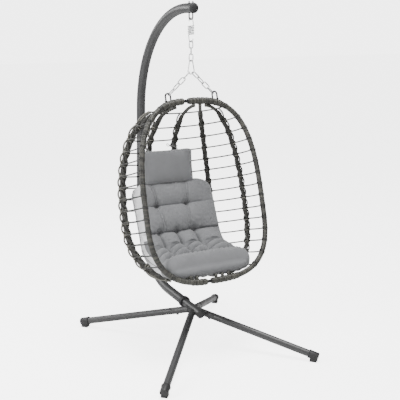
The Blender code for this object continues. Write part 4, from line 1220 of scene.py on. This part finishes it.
def cell(value, seams):
    """Where a value lies between two seams, from 0 at either to 1 half way."""
    seams = np.asarray(seams)
    index = np.clip(np.searchsorted(seams, value, side="right") - 1, 0, len(seams) - 2)
    low, high = seams[index], seams[index + 1]
    return np.sin(pi * np.clip((value - low) / (high - low), 0, 1)), index


def dent(distance, width):
    """A smooth hollow: 1 at its middle, fading over a width."""
    return np.exp(-(distance / width) ** 2)


def pad_face(share, x):
    """How far the tufted face stands over its seams at a share of the length and a place across."""
    across, _ = cell(x, COLUMN_SEAMS)
    along, band = cell(np.full_like(x, share), (0.0, *ROW_SHARES, 1.0))
    puff = 0.060 * (across ** 0.55 * along ** 0.55 - 0.52)
    roll = 0.030 * (along ** 0.5 - 0.45)
    panel = 0.030 * (along ** 0.5 - 0.5)
    near = np.min([np.abs(x - place) for place in BACK_BUTTONS], axis=0)
    between = smooth_step(x, -0.30, -0.18) * (1 - smooth_step(x, 0.02, 0.16))
    panel = panel * (0.35 + 0.65 * between) - 0.012 * dent(near, 0.020) * (0.3 + 0.7 * (1 - along))
    for offset in (-0.007, 0.007):
        for place in BACK_BUTTONS:
            lean = (share - ROW_SHARES[4]) * 0.10 * (1 if place > -0.08 else -1)
            panel = panel - 0.0090 * dent(x - place - lean - offset, 0.0036)
    return np.where(band == 0, roll, np.where(band <= 3, puff, panel))


def pad_buttons():
    """Each button's place across and along."""
    return ([(x, ROW_SHARES[4]) for x in BACK_BUTTONS]
            + [(x, ROW_SHARES[3]) for x in COLUMN_SEAMS[1:4]])


def even_section():
    """Points round the pad's section, evenly spaced: across, and through its thickness."""
    angles = np.linspace(0, 2 * pi, 8001)
    across = np.sign(np.cos(angles)) * np.abs(np.cos(angles)) ** 0.40
    through = np.sign(np.sin(angles)) * np.abs(np.sin(angles)) ** 0.66
    run = arc_lengths(np.stack([across * SEAT_HALF, through * 0.055], axis=1))
    wanted = np.linspace(0, run[-1], AROUND + 1)[:-1]
    return np.interp(wanted, run, across), np.interp(wanted, run, through)


def wander(x, share, scale):
    """Slow random drift over the pad, the same at every build."""
    return np.array([noise.noise(Vector((float(place) * scale, share * scale * 0.7, 3.1)))
                     for place in x])


def build_pad():
    curve, normals, length = pad_curve(ALONG)
    across, n = even_section()
    rings = []
    for share, (y, z, half_thick), normal in zip(np.linspace(0, 1, ALONG), curve, normals):
        middle, half, full = pad_outline(share, length)
        rel = across * half * (0.86 + 0.14 * full ** 0.7)
        face = smooth_step(n, 0.12, 0.75)
        x = middle + rel
        rim = np.clip(1 - (np.abs(rel) / half) ** 8, 0, 1)
        tuft = pad_face(share, x) * face * full * rim
        for place, at in pad_buttons():
            tuft = tuft - 0.024 * dent(np.hypot(x - place, (share - at) * length), 0.015) * face
        gather = dent((share - ROW_SHARES[0] + 0.005) * length, 0.040) * full
        tuft = tuft + np.sin(x * 2 * pi / 0.024 + 1.7 * np.sin(x * 37.0)) * 0.0045 * gather * face
        creases = wander(x, share, 26) * 0.010 * np.clip(-n, 0, 1) * full
        creases = creases + wander(x, share, 60) * 0.0028 * face * full
        offset = half_thick * full * n + tuft - creases
        rings.append(np.stack([x, y + normal[0] * offset, z + normal[1] * offset], axis=1))
    points = np.array(rings).reshape(-1, 3)
    faces = []
    for i in range(ALONG - 1):
        for k in range(AROUND):
            m = (k + 1) % AROUND
            faces.append((i * AROUND + k, i * AROUND + m, (i + 1) * AROUND + m,
                          (i + 1) * AROUND + k))
    for row in (0, ALONG - 1):
        for k in range(AROUND // 2 - 1):
            faces.append((row * AROUND + k, row * AROUND + k + 1,
                          row * AROUND + AROUND - 2 - k, row * AROUND + AROUND - 1 - k))
    mesh = bpy.data.meshes.new("seat_pad")
    mesh.from_pydata([tuple(point) for point in basket_path(points)], [], faces)
    shape = bmesh.new()
    shape.from_mesh(mesh)
    bmesh.ops.recalc_face_normals(shape, faces=shape.faces)
    shape.to_mesh(mesh)
    shape.free()
    flip_if_inside_out(mesh)
    pad = adopt("seat_pad", mesh, FABRIC, 180)
    pad.data.materials.append(LINING)
    for index in range((ALONG - 1) * AROUND):
        share = index // AROUND / ALONG
        edge = across[index % AROUND] < (-0.88 if share > 0.5 else -0.97)
        if share > 0.13 and (edge or n[index % AROUND] < LINED_BELOW):
            pad.data.polygons[index].material_index = 1
    return pad


def inflate(piece, pinned, frames=16, pressure=3.0, cap=0.009):
    """Blow a piece up a little as cloth, its seams held, and keep the shape it takes."""
    start = np.array([tuple(vertex.co) for vertex in piece.data.vertices])
    group = piece.vertex_groups.new(name="seams")
    for index in pinned:
        group.add([int(index)], 1.0, "REPLACE")
    cloth_modifier = piece.modifiers.new("cloth", "CLOTH")
    settings = cloth_modifier.settings
    settings.effector_weights.gravity = 0.0
    for key, value in {"use_pressure": True, "uniform_pressure_force": pressure,
                       "vertex_group_mass": "seams", "quality": 4, "tension_stiffness": 12,
                       "compression_stiffness": 8, "shear_stiffness": 6,
                       "bending_stiffness": 0.8}.items():
        setattr(settings, key, value)
    cloth_modifier.point_cache.frame_start = 1
    cloth_modifier.point_cache.frame_end = frames
    scene = bpy.context.scene
    scene.frame_start, scene.frame_end = 1, frames
    for number in range(1, frames + 1):
        scene.frame_set(number)
    activate(piece)
    for modifier in list(piece.modifiers):
        bpy.ops.object.modifier_apply(modifier=modifier.name)
    move = np.array([tuple(vertex.co) for vertex in piece.data.vertices]) - start
    size = np.linalg.norm(move, axis=1)
    limit = np.where(size > cap, cap / np.maximum(size, 1e-9), 1.0)
    piece.data.vertices.foreach_set("co", (start + move * limit[:, None]).ravel())
    piece.data.update()
    scene.frame_set(1)


def build_seat():
    pad = build_pad()
    set_on(pad, None, "cushion_fabric", "seat_cushion")
    rows = np.array(ROW_SHARES)
    _, through = even_section()
    held = [i * AROUND + k for i, share in enumerate(np.linspace(0, 1, ALONG))
            for k in range(AROUND)
            if through[k] < -0.25 or share < 0.04 or np.min(np.abs(rows - share)) < 0.008]
    inflate(pad, held)
    fold_away(pad)
    build_piping()
    build_buttons()


def pad_point(share, rel):
    """A place on the pad's middle: a share along, and a share of the half width across."""
    curve, _, length = pad_curve(200)
    k = share * 199
    low = int(min(198, max(0, np.floor(k))))
    y, z, _ = curve[low] * (1 - (k - low)) + curve[low + 1] * (k - low)
    middle, half, _ = pad_outline(share, length)
    return Vector((float(middle) + rel * float(half), y, z))


def build_piping():
    """The corded seam between the gathered face and the plain boxing, once round."""
    sides = [(share, 1.0) for share in np.linspace(0.05, 0.95, 60)]
    ring = [(share, -rel) for share, rel in sides]
    ring += [(0.985, rel) for rel in np.linspace(-0.88, 0.88, 24)]
    ring += sides[::-1]
    ring += [(0.012, rel) for rel in np.linspace(0.92, -0.92, 30)]
    path = resample(basket_path([pad_point(*place) for place in ring]), 0.005, closed=True)
    cord = sweep("pad_piping", path, 0.0026, FABRIC, 8, closed=True)
    set_on(cord, None, "cushion_fabric")
    fold_away(cord)


def build_buttons():
    profile = [(0.0, 0.0050), (0.0045, 0.0044), (0.0080, 0.0026), (0.0092, 0.0008),
               (0.0080, -0.0010), (0.0, -0.0014)]
    items = []
    curve, normals, _ = pad_curve(ALONG)
    for x, share in pad_buttons():
        index = int(round(share * (ALONG - 1)))
        y, z, half_thick = curve[index]
        lift = half_thick + float(pad_face(share, np.array([x]))[0]) - 0.0235
        normal = Vector((0, *normals[index]))
        seat = Vector((x, y, z)) + normal * lift
        items.append(turned("tuft_button", profile, basket(*seat), basket_way(*normal), FABRIC,
                            28, 60))
    buttons = join("tuft_buttons", items)
    set_on(buttons, None, "cushion_fabric")
    fold_away(buttons)


PILLOW = (0.318, 0.092, 0.200)
PILLOW_CENTRE = (-0.068, 0.272, -0.375)
PILLOW_LEAN = radians(10)


def pillow_frame():
    return BASKET_FRAME @ Matrix.Translation(PILLOW_CENTRE) @ Matrix.Rotation(PILLOW_LEAN, 4, "X")


def build_pillow():
    """A stuffed rectangle: full in the middle, drawn thin along its seam, with pointed corners."""
    nx, nz = 84, 54
    width, thick, height = PILLOW
    vertices, index = [], {}

    def corner(i, k, face):
        u, v = 2 * i / nx - 1, 2 * k / nz - 1
        rim = max(abs(u), abs(v)) == 1
        key = (i, k, 0 if rim else face)
        if key not in index:
            pull_x = 1 - 0.045 * (1 - v * v) * abs(u) ** 3
            pull_z = 1 - 0.060 * (1 - u * u) * abs(v) ** 3
            body = (1 - abs(u) ** 3.2) * (1 - abs(v) ** 2.8)
            bulge = thick / 2 * max(0.0, body) ** 0.42
            crease = 0.0016 * sin(u * 26 + 3 * v) * (abs(u) ** 6 + abs(v) ** 6)
            index[key] = len(vertices)
            soft = max(1.0, (abs(u) ** 9 + abs(v) ** 9) ** (1 / 9))
            vertices.append((u / soft * width / 2 * pull_x,
                             -face * bulge + crease * (0 if rim else 1),
                             v / soft * height / 2 * pull_z))
        return index[key]

    faces = []
    for face in (1, -1):
        for i in range(nx):
            for k in range(nz):
                loop = [corner(i, k, face), corner(i + 1, k, face), corner(i + 1, k + 1, face),
                        corner(i, k + 1, face)]
                faces.append(loop if face == 1 else loop[::-1])
    mesh = bpy.data.meshes.new("head_pillow_pad")
    mesh.from_pydata(vertices, [], faces)
    mesh.transform(pillow_frame())
    flip_if_inside_out(mesh)
    pillow = adopt("head_pillow_pad", mesh, FABRIC, 180)
    set_on(pillow, None, "cushion_fabric", "head_pillow")
    rim = [number for key, number in index.items()
           if abs(2 * key[0] / nx - 1) > 0.97 or abs(2 * key[1] / nz - 1) > 0.96]
    inflate(pillow, rim, pressure=4.0, cap=0.008)
    fold_away(pillow)
    build_pillow_ties()


def build_pillow_ties():
    """Two cords from the pillow's top seam: one tied in a bow, one looped round its rib."""
    to_basket = BASKET_FRAME.inverted() @ pillow_frame()
    width, _, height = PILLOW
    knot = Vector((-0.012, 0.328, -0.250))
    seam = to_basket @ Vector((width * 0.22, 0.0, height / 2 - 0.004))
    far = to_basket @ Vector((-width * 0.36, 0.0, height / 2 - 0.004))

    def beside(start, *steps):
        return [start + Vector(step) for step in steps]

    lines = [[seam, seam.lerp(knot, 0.5) + Vector((0.002, 0.0, 0.006)), knot],
             [knot, Vector((0.012, 0.352, -0.243)), Vector((0.038, 0.366, -0.246)),
              Vector((0.046, 0.340, -0.252)), Vector((0.022, 0.318, -0.254)), knot]]
    for side, lift in ((-1, 0.010), (1, 0.014)):
        bow = beside(knot, (side * 0.010, -0.006, lift), (side * 0.021, -0.008, lift + 0.001),
                     (side * 0.019, -0.006, lift - 0.010), (side * 0.008, -0.004, -0.002))
        lines.append([knot, *bow, knot])
    lines.append([knot, *beside(knot, (0.008, -0.010, -0.012), (0.012, -0.012, -0.030))])
    lines.append([far, *beside(far, (-0.006, 0.014, 0.012)), Vector((-0.150, 0.322, -0.240)),
                  Vector((-0.168, 0.344, -0.236)), Vector((-0.162, 0.362, -0.246)),
                  Vector((-0.140, 0.356, -0.254)), *beside(far, (0.004, 0.010, 0.004))])
    tie = join("pillow_ties", [sweep("pillow_tie", basket_path(resample(line, 0.002)), 0.0019,
                                     CORD_PALE, 8) for line in lines])
    set_on(tie, None, "cushion_fabric")
    fold_away(tie)


# ---------------------------------------------------------------- room, light and camera

def lit_for_camera(tree, shader_out, strength):
    """Adds plain white light that only shows to the camera, so that the room looks bright."""
    path = tree.nodes.new("ShaderNodeLightPath")
    glow = tree.nodes.new("ShaderNodeEmission")
    tree.links.new(math_node(tree, "MULTIPLY", path.outputs["Is Camera Ray"], strength),
                   glow.inputs["Strength"])
    total = tree.nodes.new("ShaderNodeAddShader")
    tree.links.new(shader_out, total.inputs[0])
    tree.links.new(glow.outputs[0], total.inputs[1])
    return total.outputs[0]


def build_stage():
    bpy.ops.mesh.primitive_plane_add(size=60, location=(0, 0, 0))
    floor = bpy.context.active_object
    floor.name = "floor"
    material, tree, shader = base_material("floor_white", 0.9)
    shader.inputs["Base Color"].default_value = (0.90, 0.90, 0.90, 1.0)
    tree.links.new(lit_for_camera(tree, shader.outputs[0], 4.0),
                   tree.nodes["Material Output"].inputs["Surface"])
    floor.data.materials.append(material)
    world = bpy.data.worlds.new("studio")
    world.use_nodes = True
    tree = world.node_tree
    sky = tree.nodes["Background"]
    sky.inputs["Color"].default_value = (1.0, 1.0, 1.0, 1.0)
    sky.inputs["Strength"].default_value = 0.32
    tree.links.new(lit_for_camera(tree, sky.outputs[0], 4.2),
                   tree.nodes["World Output"].inputs["Surface"])
    bpy.context.scene.world = world


def area_light(name, place, size, power):
    """A square light that faces the chair's middle."""
    light = bpy.data.lights.new(name, "AREA")
    light.size = size
    light.energy = power
    item = linked(name, light)
    item.location = place
    toward = Vector((0, 0, 1.0)) - Vector(place)
    item.rotation_euler = toward.to_track_quat("-Z", "Y").to_euler()


def build_lights():
    area_light("overhead", (0.1, -0.7, 4.2), 1.8, 225)
    area_light("key", (-3.6, -0.6, 2.2), 1.6, 120)
    area_light("rim", (-2.2, 2.8, 2.4), 1.6, 90)
    area_light("front", (-0.6, -4.2, 1.5), 1.6, 55)


def build_camera():
    """A camera in front and to the left, a little above the seat."""
    turn, lift, distance = radians(-28.64), radians(12.41), 4.7018
    back = Vector((sin(turn) * cos(lift), -cos(turn) * cos(lift), sin(lift)))
    right = Vector((cos(turn), sin(turn), 0))
    up = back.cross(right)
    place = Vector((0, SHIFT, 0.8623)) + right * 0.0387 + back * distance
    camera = bpy.data.cameras.new("camera")
    camera.sensor_width = 36
    camera.lens = 74.63
    item = linked("camera", camera)
    item.matrix_world = Matrix((right, up, back)).transposed().to_4x4()
    item.location = place
    bpy.context.scene.camera = item


build_camera()
build_stage()
build_lights()
build_hub()
build_legs()
build_poles()
build_collar()
end_cap("stub_end", "stub_cap", STUB_TUBE, stub_point(STUB_FRONT), -STUB_AXIS)
end_cap("pole_end", "pole_cap", POLE_TUBE, (0, POLE_END + SHIFT, POLE_TOP), (0, -1, 0))
build_u_bolt()
build_spring()
build_chain()
build_hoop(1, "right")
build_hoop(-1, "left")
build_rivets()
for rib in RIB_PLACES:
    build_rib(rib)
for number, level in enumerate(RUNG_LEVELS):
    build_rung(number + 1, level)
build_seat()
build_pillow()
